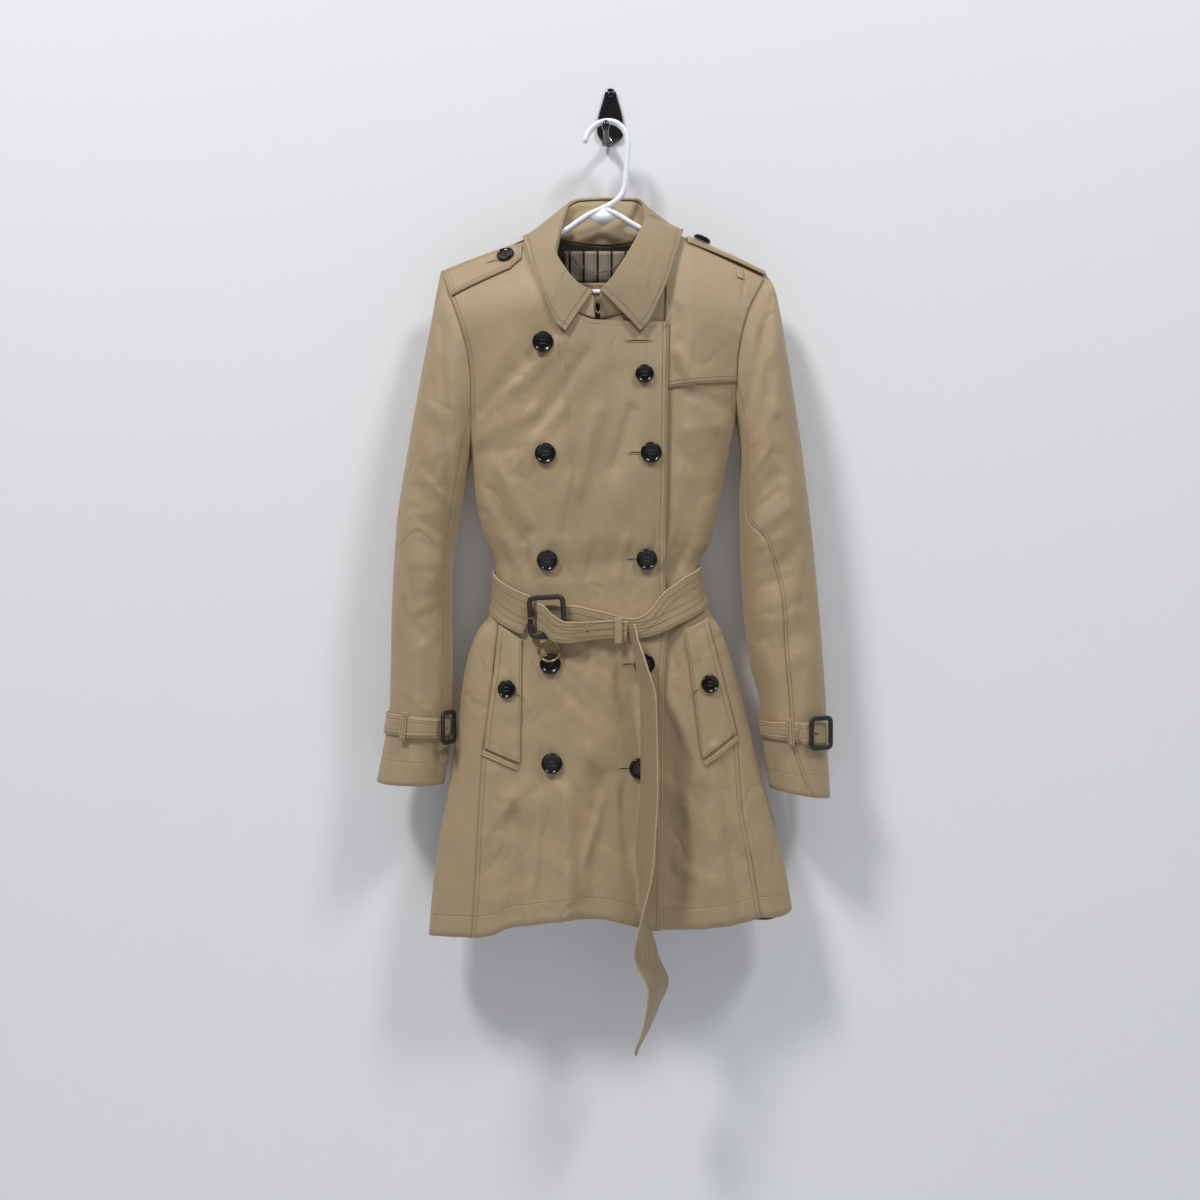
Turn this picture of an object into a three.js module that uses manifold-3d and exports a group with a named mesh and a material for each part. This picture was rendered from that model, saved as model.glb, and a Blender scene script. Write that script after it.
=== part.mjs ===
// A double-breasted, belted trench coat, buttoned up and hanging on a tubular hanger from a small wall hook.
// Millimetres. The wall is the plane y = 0 and the coat hangs on its -Y side; +X is to a viewer's right, +Z is up.
// The origin is the middle of the hook plate's flat back. Each cut piece of cloth is a closed wall of its own.
import * as THREE from 'three';
import { mergeVertices } from 'three/addons/utils/BufferGeometryUtils.js';
import Module from 'manifold-3d';

const wasm = await Module();
wasm.setup();

// ---------------------------------------------------------------- driving sizes
const CLOTH = 1.5;              // wall of a cloth panel with its lining
const DOUBLE = 1.8;             // wall of a turned and topstitched piece: collar, straps, flaps
const BELT_WALL = 2.4;
const SEAM = 0.2;               // each piece stops this short of the seam line
const LAY = 0.9;                // a piece laid on a panel clears its curved face by this
const RIDGE_Y = -44;            // the shoulder ridge, over the hanger's arms
const SHOULDER_FALL = 110;      // height over which the chest swells out below the ridge
const SHOULDER_ROUND = 0.8;
const SQUARENESS = 2.6;         // superellipse power of the body's cross-section
const ARM_ROWS = 8;             // rows of a panel along the armhole
const LEVELS = [-455, -490, -525, -560, -578, -592, -608, -625, -650, -674,
  -706, -742, -786, -828, -870, -912, -955, -1004, -1052];   // rows of a panel below the armpit
const HANGER_TUBE = 3.75;       // radius
const BUTTON = 13;              // radius of a front button
const SMALL_BUTTON = 11.4;      // radius of a pocket, epaulette or inner-row button

const { PI, sin, cos, abs, sign, asin, min, max, hypot, exp } = Math;
const vec = (x, y, z) => new THREE.Vector3(x, y, z);
const lerp = THREE.MathUtils.lerp;
const smooth = THREE.MathUtils.smoothstep;

// ---------------------------------------------------------------- tables of sections
// The first named column is the key. The others are read smoothly between rows, without overshoot.
function sections(names, rows) {
  const read = {};
  const secant = (i, c) => (rows[i + 1][c] - rows[i][c]) / (rows[i + 1][0] - rows[i][0]);
  const slope = (i, c) => {
    if (i === 0) return secant(0, c);
    if (i === rows.length - 1) return secant(i - 1, c);
    const [a, b] = [secant(i - 1, c), secant(i, c)];
    return a * b <= 0 ? 0 : (2 * a * b) / (a + b);
  };
  const down = rows[0][0] > rows[1][0];
  names.split(' ').slice(1).forEach((name, k) => {
    const c = k + 1;
    read[name] = (key) => {
      let i = 0;
      while (i < rows.length - 2 && (down ? key < rows[i + 1][0] : key > rows[i + 1][0])) i += 1;
      const span = rows[i + 1][0] - rows[i][0];
      const t = THREE.MathUtils.clamp((key - rows[i][0]) / span, 0, 1);
      const [t2, t3] = [t * t, t * t * t];
      return rows[i][c] * (2 * t3 - 3 * t2 + 1) + rows[i + 1][c] * (3 * t2 - 2 * t3)
        + slope(i, c) * span * (t3 - 2 * t2 + t) + slope(i + 1, c) * span * (t3 - t2);
    };
  });
  return read;
}

// Body: left and right silhouettes, and the depth of the front and back at the middle.
const BODY = sections('z left right front back', [
  [-150, -232, 214, -98, -16],
  [-214, -232, 214, -100, -14],
  [-260, -226, 206, -102, -12],
  [-330, -207, 182, -104, -10],
  [-408, -188, 159, -104, -11],
  [-455, -177, 148, -104, -12],
  [-510, -171, 138, -102, -14],
  [-560, -159, 126, -98, -17],
  [-592, -146, 111, -95, -20],
  [-625, -147, 115, -94, -20],
  [-650, -152, 125, -95, -18],
  [-674, -169, 140, -97, -15],
  [-706, -181, 151, -99, -12],
  [-742, -188, 161, -101, -10],
  [-786, -193, 172, -103, -9],
  [-849, -202, 188, -104, -9],
  [-927, -216, 210, -105, -9],
  [-1004, -226, 226, -106, -9],
  [-1062, -231, 234, -107, -9],
]);

const RIDGE = sections('x z', [
  [-235, -222], [-217, -214], [-204, -208.5], [-150, -189], [-108, -175], [-80, -164], [-40, -150],
  [20, -150], [66, -161], [91, -170], [145, -193], [199, -219], [216, -228],
]);

// Largest folds: a soft ridge (height > 0) or trough (height < 0) from one end to the other.
const fold = (x0, z0, x1, z1, width, height) => ({ x0, z0, x1, z1, width, height });
const FRONT_FOLDS = [
  fold(-82, -262, -146, -350, 20, 3),
  fold(-66, -598, 18, -584, 15, -2.5),
  fold(-104, -480, -108, -600, 10, -2.5),
  fold(-124, -486, -118, -600, 10, 2.5),
  fold(-142, -500, -128, -596, 9, -2.5),
  fold(104, -500, 87, -596, 12, -4),
  fold(84, -480, 72, -580, 12, 2),
  fold(-100, -700, -94, -808, 15, 4),
  fold(-72, -725, -36, -826, 18, 3),
  fold(0, -700, 34, -790, 22, -2.5),
  fold(70, -862, 128, -920, 16, 4),
  fold(76, -850, 118, -880, 12, -3),
  fold(78, -1030, 126, -990, 16, 3),
  fold(-142, -914, -100, -918, 16, -3),
  fold(-96, -1030, -84, -900, 26, 3),
  fold(-30, -1036, -30, -780, 9, 1),
];
const BACK_FOLDS = [
  fold(-100, -470, -84, -590, 16, 3),
  fold(64, -480, 52, -590, 16, 3),
  fold(-92, -690, -128, -1040, 26, 4),
  fold(-10, -700, -14, -1040, 22, -3),
  fold(84, -690, 124, -1030, 26, 4),
];
function relief(folds, x, z) {
  return folds.reduce((sum, f) => {
    const [dx, dz] = [f.x1 - f.x0, f.z1 - f.z0];
    const along = ((x - f.x0) * dx + (z - f.z0) * dz) / (dx * dx + dz * dz);
    const t = THREE.MathUtils.clamp(along, 0, 1);
    const off = hypot(x - f.x0 - t * dx, z - f.z0 - t * dz) / f.width;
    return sum + f.height * exp(-off * off);
  }, 0);
}

// ---------------------------------------------------------------- the body's surface
// w counts quarter turns round the body: 0 front middle, -1 left side, -2 back middle, -3 right side.
const power = (t) => sign(t) * abs(t) ** (2 / SQUARENESS);
const middle = (z) => (BODY.left(z) + BODY.right(z)) / 2;
const halfWidth = (z) => (BODY.right(z) - BODY.left(z)) / 2;

function body(w, z, drop = 0) {
  const [s, c] = [sin(w * PI / 2), cos(w * PI / 2)];
  const x = middle(z) + halfWidth(z) * power(s);
  const side = (BODY.front(z) + BODY.back(z)) / 2;
  const depth = c > 0 ? BODY.front(z) - side : BODY.back(z) - side;
  const flat = side + depth * abs(c) ** (2 / SQUARENESS);
  const below = min(1, max(0, RIDGE.z(x) - z) / SHOULDER_FALL);
  const swell = sin(PI / 2 * below ** SHOULDER_ROUND);
  const bulge = relief(c > 0 ? FRONT_FOLDS : BACK_FOLDS, x, z) * abs(c) * swell;
  const y = RIDGE_Y + (flat - RIDGE_Y) * swell + (c > 0 ? drop * swell - bulge : bulge);
  return vec(x, y, z);
}
function frontTurn(x, z) {
  const u = THREE.MathUtils.clamp((x - middle(z)) / halfWidth(z), -1, 1);
  return asin(sign(u) * abs(u) ** (SQUARENESS / 2)) / (PI / 2);
}
const backTurn = (x, z) => -2 - frontTurn(x, z);

// The outward normal of any surface f(a, b), by differences.
function normalOf(f, a, b, da, db) {
  const across = f(a + da, b).sub(f(a - da, b));
  const along = f(a, b + db).sub(f(a, b - db));
  return across.cross(along).normalize();
}
const STEP_W = 0.01;
const STEP_Z = 1.5;
function bodyNormal(w, z, drop = 0) {
  const p = body(w, z, drop);
  const ridge = RIDGE.z(p.x);
  if (ridge - z < 3) {
    const slope = (RIDGE.z(p.x + 2) - RIDGE.z(p.x - 2)) / 4;
    return vec(-slope, 0, 1).normalize();
  }
  const n = normalOf((a, b) => body(a, b, drop), w, z, STEP_W, STEP_Z);
  const out = cos(w * PI / 2) > 0.2 ? -n.y : (cos(w * PI / 2) < -0.2 ? n.y : n.x * sin(w * PI / 2));
  return out < 0 ? n.negate() : n;
}

// ---------------------------------------------------------------- grids and walls
// A grid is rows of { p, n }: a point on the outer face and its outward normal.
const node = (p, n) => ({ p, n });
const grid = (rows, columns, at) => rows.map((v) => columns.map((u) => at(u, v)));
const steps = (count, from = 0, to = 1) => Array.from({ length: count + 1 }, (_, i) => lerp(from, to, i / count));

// Pulls a grid's edges back from the seam lines by SEAM.
function trimmed(cells) {
  const last = cells.length - 1;
  const end = cells[0].length - 1;
  const pull = (a, b) => a.p.clone().add(b.p.clone().sub(a.p).setLength(SEAM));
  const across = cells.map((row) => row.map((cell, j) => {
    if (j === 0) return node(pull(cell, row[1]), cell.n);
    if (j === end) return node(pull(cell, row[end - 1]), cell.n);
    return cell;
  }));
  return across.map((row, i) => row.map((cell, j) => {
    if (i === 0) return node(pull(cell, across[1][j]), cell.n);
    if (i === last) return node(pull(cell, across[last - 1][j]), cell.n);
    return cell;
  }));
}

// A closed wall between two faces given as grids of points.
function between(outer, inner, round = false) {
  const [rows, columns] = [outer.length, outer[0].length];
  const points = [...outer.flat(), ...inner.flat()];
  const id = (layer, i, j) => layer * rows * columns + i * columns + (j % columns);
  const faces = [];
  const quad = (a, b, c, d) => faces.push([a, b, c], [a, c, d]);
  const spans = round ? columns : columns - 1;
  for (let i = 0; i < rows - 1; i += 1) {
    for (let j = 0; j < spans; j += 1) {
      quad(id(0, i, j), id(0, i + 1, j), id(0, i + 1, j + 1), id(0, i, j + 1));
      quad(id(1, i, j), id(1, i, j + 1), id(1, i + 1, j + 1), id(1, i + 1, j));
    }
    if (!round) {
      quad(id(0, i, 0), id(1, i, 0), id(1, i + 1, 0), id(0, i + 1, 0));
      quad(id(0, i, spans), id(0, i + 1, spans), id(1, i + 1, spans), id(1, i, spans));
    }
  }
  for (let j = 0; j < spans; j += 1) {
    quad(id(0, 0, j), id(0, 0, j + 1), id(1, 0, j + 1), id(1, 0, j));
    quad(id(0, rows - 1, j), id(1, rows - 1, j), id(1, rows - 1, j + 1), id(0, rows - 1, j + 1));
  }
  const volume = faces.reduce((sum, [a, b, c]) => sum + points[a].dot(points[b].clone().cross(points[c])), 0);
  const index = faces.flatMap(([a, b, c]) => (volume > 0 ? [a, b, c] : [a, c, b]));
  const geometry = new THREE.BufferGeometry();
  geometry.setAttribute('position', new THREE.Float32BufferAttribute(points.flatMap((p) => [p.x, p.y, p.z]), 3));
  geometry.setIndex(index);
  return geometry;
}
function wall(cells, thickness, lift = 0) {
  const face = (offset) => cells.map((row) => row.map(({ p, n }) => p.clone().addScaledVector(n, offset)));
  return between(face(lift), face(lift - thickness));
}
// Normals of a grid of bare points, by differences between neighbours.
function withNormals(points, outward) {
  const [last, end] = [points.length - 1, points[0].length - 1];
  return points.map((row, i) => row.map((p, j) => {
    const across = row[min(end, j + 1)].clone().sub(row[max(0, j - 1)]);
    const along = points[min(last, i + 1)][j].clone().sub(points[max(0, i - 1)][j]);
    const n = across.cross(along).normalize();
    return node(p, outward && n.dot(outward(p)) < 0 ? n.negate() : n);
  }));
}

// ---------------------------------------------------------------- materials and the group
const surface = (color, roughness, metalness = 0) => new THREE.MeshStandardMaterial({ color, roughness, metalness });
const HONEY = 0xab9570;
const MATERIALS = {
  gabardine: () => surface(HONEY, 0.75),
  belt: () => surface(0xa48d68, 0.75),
  lining: () => surface(0x77715f, 0.6),
  button: () => surface(0x100e0d, 0.18),
  buckle: () => surface(0x14110f, 0.2),
  brass: () => surface(0x8a7a55, 0.35, 0.9),
  steel: () => surface(0x6f6a63, 0.35, 0.9),
  hanger: () => surface(0xf0f1f2, 0.35),
  hook: () => surface(0x0b0b0c, 0.15),
};
const coat = new THREE.Group();
function add(name, geometry, finish, place) {
  const mesh = new THREE.Mesh(geometry, MATERIALS[finish]());
  mesh.name = name;
  if (place) {
    mesh.position.copy(place.at);
    mesh.quaternion.copy(place.turn);
  }
  coat.add(mesh);
}

// ---------------------------------------------------------------- panel outlines
// Armholes run from the shoulder tip (s = 0) to the armpit (s = 1).
const ARMHOLE = {
  left: sections('s x z', [
    [0, -217, -214], [0.18, -202, -255], [0.35, -187, -296], [0.5, -178, -332],
    [0.65, -175, -366], [0.82, -175, -410], [1, -177, -455],
  ]),
  right: sections('s x z', [
    [0, 199, -219], [0.16, 186, -242], [0.33, 170, -274], [0.5, 160, -310],
    [0.66, 156, -343], [0.82, 156, -375], [1, 159, -408],
  ]),
};
// Side-front seams below the armpit, and the free front edges.
const SEAM_X = {
  left: sections('z x', [
    [-455, -177], [-510, -170.5], [-560, -158], [-592, -144.5], [-656, -141], [-722, -146], [-785, -151],
    [-826, -160], [-955, -167], [-1060, -173],
  ]),
  right: sections('z x', [
    [-408, 159], [-455, 147.5], [-510, 137], [-560, 124], [-592, 109], [-647, 118], [-704, 134], [-774, 151],
    [-809, 158], [-893, 163], [-953, 174], [-1040, 188],
  ]),
};
const LAP_EDGE = sections('z x', [[-290, 71], [-450, 69], [-601, 67], [-665, 70], [-738, 65], [-841, 64], [-1043, 62]]);
const UNDER_EDGE_X = -32;
const FRONT_HEM = sections('x z', [
  [-175, -1053], [-146, -1048], [-130, -1041], [-104, -1036], [-69, -1031], [-43, -1028], [-14, -1029],
  [27, -1036], [50, -1042], [64, -1042], [104, -1040], [150, -1038], [190, -1028],
]);
const BACK_HEM = sections('w z', [[-0.7, -1054], [-1, -1057], [-1.5, -1056], [-2, -1050], [-2.6, -1048], [-3, -1024], [-3.3, -1030]]);
// Top edges: free or neck edge, then neck seam, then shoulder seam out to the tip.
const onRidge = (u, x) => [u, x, RIDGE.z(x)];
const TOP = {
  left: sections('u x z', [
    [0, 71, -290], [0.16, 28, -290], [0.33, -20, -288], [0.39, -42, -280], [0.45, -64, -252],
    [0.5, -75, -212], onRidge(0.55, -80), onRidge(0.7, -122), onRidge(0.85, -170), onRidge(1, -217),
  ]),
  right: sections('u x z', [
    [0, -32, -290], [0.09, -14, -288], [0.17, 12, -281], [0.25, 38, -254], [0.33, 56, -212],
    onRidge(0.41, 66), onRidge(0.6, 107), onRidge(0.8, 152), onRidge(1, 199),
  ]),
  back: sections('u x z', [
    onRidge(0, -217), onRidge(0.15, -150), onRidge(0.3, -80), [0.35, -70, -170], [0.42, -46, -175],
    [0.5, -7, -178], [0.58, 32, -174], [0.65, 56, -168], onRidge(0.7, 66), onRidge(0.85, 132), onRidge(1, 199),
  ]),
};
const LEFT_COLUMNS = [0, 0.11, 0.22, 0.33, 0.39, 0.45, 0.5, 0.55, 0.66, 0.77, 0.88, 1];
const RIGHT_COLUMNS = [0, 0.09, 0.17, 0.25, 0.33, 0.41, 0.52, 0.64, 0.76, 0.88, 1];
const BACK_COLUMNS = steps(20);
const ROW_COUNT = ARM_ROWS + LEVELS.length - 1;
const ROWS = [0, 0.35 / ROW_COUNT, ...steps(ROW_COUNT).slice(1)];
const ARMPIT_ROW = ARM_ROWS / ROW_COUNT;
const ARMPIT_BLEND = 105;       // below this height under the armpit all rows are level
const HEM_BLEND = 140;

// Height of a row below the armpit, easing from an armpit's own height to the levels, and to the hem.
function fallen(v, armpitZ, hemZ) {
  const place = (v - ARMPIT_ROW) * ROW_COUNT;
  const i = min(LEVELS.length - 2, Math.floor(place + 1e-6));
  const level = lerp(LEVELS[i], LEVELS[i + 1], place - i);
  const [top, low] = [LEVELS[0], LEVELS.at(-1)];
  return level + (armpitZ - top) * smooth(level, top - ARMPIT_BLEND, top)
    + (hemZ - low) * (1 - smooth(level, low, low + HEM_BLEND));
}
// A panel's side edge: along the armhole, then down the side-front seam. Gives [w, z].
function sideEdge(side, turn, hemZ) {
  return (v) => {
    if (v <= ARMPIT_ROW + 1e-6) {
      const s = min(1, v / ARMPIT_ROW);
      const [x, z] = [ARMHOLE[side].x(s), ARMHOLE[side].z(s)];
      return [turn(x, z), z];
    }
    const z = fallen(v, ARMHOLE[side].z(1), hemZ);
    return [frontTurn(SEAM_X[side].x(z), z), z];
  };
}
function freeEdge(xOf, topZ, hemZ) {
  return (v) => {
    const z = v <= ARMPIT_ROW ? lerp(topZ, LEVELS[0], v / ARMPIT_ROW) : fallen(v, LEVELS[0], hemZ);
    return [frontTurn(xOf(z), z), z];
  };
}
// A four-sided patch: blends its four edges, each a function that gives [w, z].
// The last edge's shape reaches in by blend(u).
function patch(first, last, top, bottom, blend = (u) => u) {
  return (u, v) => [0, 1].map((k) => {
    const reach = blend(u);
    const corners = lerp(lerp(top(0)[k], top(1)[k], reach), lerp(bottom(0)[k], bottom(1)[k], reach), v);
    return lerp(first(v)[k], last(v)[k], reach) + lerp(top(u)[k], bottom(u)[k], v) - corners;
  });
}
const squared = (u) => u * u;
const onFront = (x, z) => [frontTurn(x, z), z];

// ---------------------------------------------------------------- fronts and back
const HEM = { leftSeam: FRONT_HEM.z(-173), rightSeam: FRONT_HEM.z(187) };
const leftSeamFront = sideEdge('left', frontTurn, HEM.leftSeam);
const rightSeamFront = sideEdge('right', frontTurn, HEM.rightSeam);
const topOf = (side) => (u) => onFront(TOP[side].x(u), TOP[side].z(u));
const hemBetween = (x0, x1) => (u) => onFront(lerp(x0, x1, u), FRONT_HEM.z(lerp(x0, x1, u)));
const lapPatch = patch(
  freeEdge(LAP_EDGE.x, -290, FRONT_HEM.z(62)), leftSeamFront, topOf('left'),
  hemBetween(62, SEAM_X.left.x(HEM.leftSeam)), squared,
);
const underPatch = patch(
  freeEdge(() => UNDER_EDGE_X, -290, FRONT_HEM.z(UNDER_EDGE_X)), rightSeamFront, topOf('right'),
  hemBetween(UNDER_EDGE_X, SEAM_X.right.x(HEM.rightSeam)), squared,
);
// The under front lies this far behind the lap, easing out to the body's face beside it.
const LAP_DROP = 5.6;
const lapDrop = (x) => LAP_DROP * (1 - smooth(x, 72, 100));
function cellAt(w, z, dropOf = () => 0) {
  const drop = dropOf(body(w, z).x);
  return node(body(w, z, drop), bodyNormal(w, z, drop));
}
const lapGrid = grid(ROWS, LEFT_COLUMNS, (u, v) => cellAt(...lapPatch(u, v)));
const underGrid = grid(ROWS, RIGHT_COLUMNS, (u, v) => cellAt(...underPatch(u, v), lapDrop));

const backSide = (side) => {
  const front = side === 'left' ? leftSeamFront : rightSeamFront;
  const turn = side === 'left' ? 0 : -4;
  return (v) => {
    const [w, z] = front(v);
    return v <= ARMPIT_ROW + 1e-6 ? [-2 - w, z] : [w + turn, z];
  };
};
const backPatch = patch(
  backSide('left'), backSide('right'),
  (u) => [backTurn(TOP.back.x(u), TOP.back.z(u)), TOP.back.z(u)],
  (u) => {
    const w = lerp(backSide('left')(1)[0], backSide('right')(1)[0], u);
    return [w, u === 0 ? HEM.leftSeam : (u === 1 ? HEM.rightSeam : BACK_HEM.z(w))];
  },
);
const backGrid = grid(ROWS, BACK_COLUMNS, (u, v) => cellAt(...backPatch(u, v)));

add('front_right', wall(trimmed(lapGrid), CLOTH), 'gabardine');
add('front_left', wall(trimmed(underGrid), CLOTH), 'gabardine');
// Seams from the shoulders to the hem part the back into two backs and two sides, which wrap round to the fronts.
const BACK_PANELS = { side_left: [0, 5], back_left: [5, 10], back_right: [10, 15], side_right: [15, 20] };
for (const [name, [from, to]] of Object.entries(BACK_PANELS)) {
  add(name, wall(trimmed(backGrid.map((row) => row.slice(from, to + 1))), CLOTH), 'gabardine');
}

// ---------------------------------------------------------------- pieces laid on the body
// A piece of cloth on the body: corners are its four edges in [x, z]; it is lifted clear of what lies under it.
const along = (table, from, to) => (v) => {
  const s = lerp(from, to, v);
  return [table.x(s), table.z(s)];
};
const straight = (a, b) => (t) => [lerp(a[0], b[0], t), lerp(a[1], b[1], t)];
function laid(edges, rows, columns, { turn = frontTurn, dropOf, lift = LAY, thickness = DOUBLE, inside = false }) {
  const shape = patch(...edges);
  const cells = grid(Array.isArray(rows) ? rows : steps(rows), steps(columns), (u, v) => {
    const [x, z] = shape(u, v);
    return cellAt(turn(x, z), z, dropOf);
  });
  return wall(cells, thickness, inside ? -CLOTH - lift : lift + thickness);
}

// Gun flap over the viewer's right chest, from the shoulder and armhole seams to its free lower edge.
const FLAP_X = 66;
add('gun_flap', laid(
  [straight([FLAP_X + 2, -171], [FLAP_X, -372]), along(ARMHOLE.right, 0.06, 0.755),
    straight([FLAP_X + 2, -171], [ARMHOLE.right.x(0.06), ARMHOLE.right.z(0.06)]),
    straight([FLAP_X, -372], [ARMHOLE.right.x(0.755), ARMHOLE.right.z(0.755)])],
  8, 7, { dropOf: lapDrop, thickness: 1.2, lift: 1.3 },
), 'gabardine');

// Storm shield on the back.
const SHIELD_ROWS = [0, 0.06, 0.13, 0.21, 0.31, 0.46, 0.7, 1];
const SHIELD_LIFT = 1.7;
const SHIELD = { left: [-146, -207], leftLow: [-163, -466], right: [130, -207], rightLow: [132, -440] };
add('storm_shield', laid(
  [straight(SHIELD.left, SHIELD.leftLow), straight(SHIELD.right, SHIELD.rightLow),
    straight(SHIELD.left, SHIELD.right), straight(SHIELD.leftLow, SHIELD.rightLow)],
  SHIELD_ROWS, 18, { turn: backTurn, thickness: CLOTH, lift: SHIELD_LIFT },
), 'gabardine');

// Slanted pocket flaps, free at the side, and the narrow welts below them.
const POCKETS = {
  left: { topOut: [-138, -666], topIn: [-110, -684], lowOut: [-157, -818], lowIn: [-112, -836] },
  right: { topOut: [119, -658], topIn: [92, -672], lowOut: [155, -800], lowIn: [112, -832] },
};
const WELTS = {
  left: { topOut: [-159, -821], topIn: [-114, -839], lowOut: [-161, -827], lowIn: [-116, -845] },
  right: { topOut: [156, -804], topIn: [113, -835], lowOut: [159, -810], lowIn: [116, -841] },
};
const FLAP_LIFT = 1.3;
const WELT_LIFT = 1.05;
const foursided = ({ topOut, topIn, lowOut, lowIn }) => [
  straight(topOut, lowOut), straight(topIn, lowIn), straight(topOut, topIn), straight(lowOut, lowIn)];
for (const side of ['left', 'right']) {
  add(`pocket_flap_${side}`, laid(foursided(POCKETS[side]), 8, 3, { lift: FLAP_LIFT }), 'gabardine');
  add(`pocket_welt_${side}`, laid(foursided(WELTS[side]), 1, 4, { lift: WELT_LIFT, thickness: 1.2 }), 'gabardine');
}

// Epaulettes: the left one lies on the front slope, the right one has slipped back and arches over the ridge.
const EPAULETTE = { lift: 0.9, thickness: 2.2 };
const under = (x, drop) => [x, RIDGE.z(x) - drop];
add('epaulette_left', laid(
  [straight(under(-213, 5), under(-200, 47)), straight(under(-112, 9), under(-112, 30)),
    (u) => under(lerp(-213, -112, u), u < 0.85 ? lerp(5, 3, u) : lerp(3, 9, (u - 0.85) / 0.15)),
    (u) => under(lerp(-200, -112, u), u < 0.85 ? lerp(47, 38, u) : lerp(38, 30, (u - 0.85) / 0.15))],
  4, 7, EPAULETTE,
), 'gabardine');
// Rows across the arch: how far each lies below the ridge, at the neck end and at the sleeve end.
const ARCH_X = { neck: 96, sleeve: 196 };
const ARCH = [
  { turn: frontTurn, neck: 13, sleeve: 7, lift: 3.5 }, { turn: frontTurn, neck: 6, sleeve: 3.5, lift: 2.4 },
  { turn: frontTurn, neck: 0, sleeve: 0, lift: 1.7 }, { turn: backTurn, neck: 6, sleeve: 5, lift: 2 },
  { turn: backTurn, neck: 16, sleeve: 16, lift: 1.8 },
];
const archPoints = ARCH.map(({ turn, neck, sleeve: end, lift }) => steps(8).map((u) => {
  const [x, z] = under(lerp(ARCH_X.neck, ARCH_X.sleeve, u), lerp(neck, end, u));
  const { p, n } = cellAt(turn(x, z), z, lapDrop);
  return p.addScaledVector(n, lift + EPAULETTE.thickness);
}));
add('epaulette_right', wall(withNormals(archPoints, (p) => vec(0, p.y - RIDGE_Y, 12)), EPAULETTE.thickness), 'gabardine');
add('epaulette_loop', laid(
  foursided({ topOut: [157, -218], topIn: [166, -221], lowOut: [157, -231], lowIn: [166, -234] }),
  1, 1, { dropOf: lapDrop, lift: 1 + 1.3 + 0.6, thickness: 1.2 },
), 'gabardine');

// Lining patch and plain facing strip inside the back neck.
const NECK_LIFT = 1.6;
const NECK_PATCH = { left: -60, right: 44, top: -184, middle: -222, low: -250 };
for (const [name, high, low] of [
  ['neck_lining', NECK_PATCH.top, NECK_PATCH.middle + 0.3], ['neck_facing', NECK_PATCH.middle - 0.3, NECK_PATCH.low]]) {
  const { left, right } = NECK_PATCH;
  add(name, laid(
    [straight([left, high], [left, low]), straight([right, high], [right, low]),
      straight([left, high], [right, high]), straight([left, low], [right, low])],
    2, 6, { turn: backTurn, inside: true, lift: NECK_LIFT, thickness: 1 },
  ), name === 'neck_lining' ? 'lining' : 'gabardine');
}

// ---------------------------------------------------------------- collar
// t runs round the neck: -1 and 1 are the front ends, 0 the back middle, -0.5 and 0.5 the side necks.
const ROLL = sections('t x y z', [
  [-1, -22, -95, -254], [-0.9, -41, -90, -243], [-0.8, -58, -82, -222], [-0.7, -70, -70, -196],
  [-0.6, -66, -57, -168], [-0.5, -62, -44, -144], [-0.38, -56, -31, -124], [-0.25, -40, -21, -114],
  [0, -2, -15, -111], [0.25, 30, -20, -113], [0.38, 44, -30, -124], [0.5, 45, -44, -147],
  [0.6, 37, -56, -171], [0.7, 25, -68, -196], [0.8, 12, -80, -219], [0.9, -1, -89, -239], [1, -14, -95, -253],
]);
const MIDLINE = sections('t x y z', [
  [-1, -40, -106, -280], [-0.9, -56, -102, -268], [-0.8, -72, -94, -246], [-0.7, -85, -82, -217],
  [-0.6, -89, -66, -187], [-0.5, -88, -46, -159], [-0.38, -77, -27, -141], [-0.25, -54, -12, -137],
  [0, -3, -6, -139], [0.25, 42, -12, -137], [0.38, 60, -27, -138], [0.5, 69, -44, -154],
  [0.6, 64, -63, -182], [0.7, 54, -80, -211], [0.8, 42, -93, -239], [0.9, 28, -102, -264], [1, 12, -106, -279],
]);
const LEAF_EDGE = sections('t x y z', [
  [-1, -56, -110, -304], [-0.9, -66, -108, -296], [-0.8, -77, -103, -272], [-0.7, -90, -93, -238],
  [-0.6, -103, -74, -203], [-0.5, -113, -50, -171], [-0.38, -108, -27, -174], [-0.25, -72, -9, -181],
  [0, -4, -5, -184], [0.25, 64, -9, -178], [0.38, 89, -27, -166], [0.5, 92, -50, -164],
  [0.6, 82, -76, -201], [0.7, 71, -92, -236], [0.8, 59, -102, -266], [0.9, 47, -108, -291], [1, 36, -110, -304],
]);
// Holds a point of the collar clear of the chest, the shoulder or the back below it.
function clearOfBody(p) {
  const lift = lerp(LEAF_CLEAR.left, LEAF_CLEAR.right, smooth(p.x, -20, 30));
  const z = p.z - lift;
  if (z > RIDGE.z(p.x)) return p;
  const front = body(frontTurn(p.x, z), z).y - lift;
  const back = body(backTurn(p.x, z), z).y + lift;
  p.y = p.y < RIDGE_Y ? min(p.y, front) : max(p.y, back);
  return p;
}
const at3 = (table, t) => clearOfBody(vec(table.x(t), table.y(t), table.z(t)));
const NECK_AXIS = vec(-8, -50, 0);
const inward = (p) => vec(NECK_AXIS.x - p.x, NECK_AXIS.y - p.y, 0).normalize();
const STAND_TUCK = 4.2;         // the stand ends this far below the roll
const ROLL_TUCK = 3.4;          // and its inner face this far inside it
const SEAM_STEP = 1.5;          // the stand starts this far inside the panels' neck edge
const LEAF_CLEAR = { left: 4, right: 6.6 };

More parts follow.
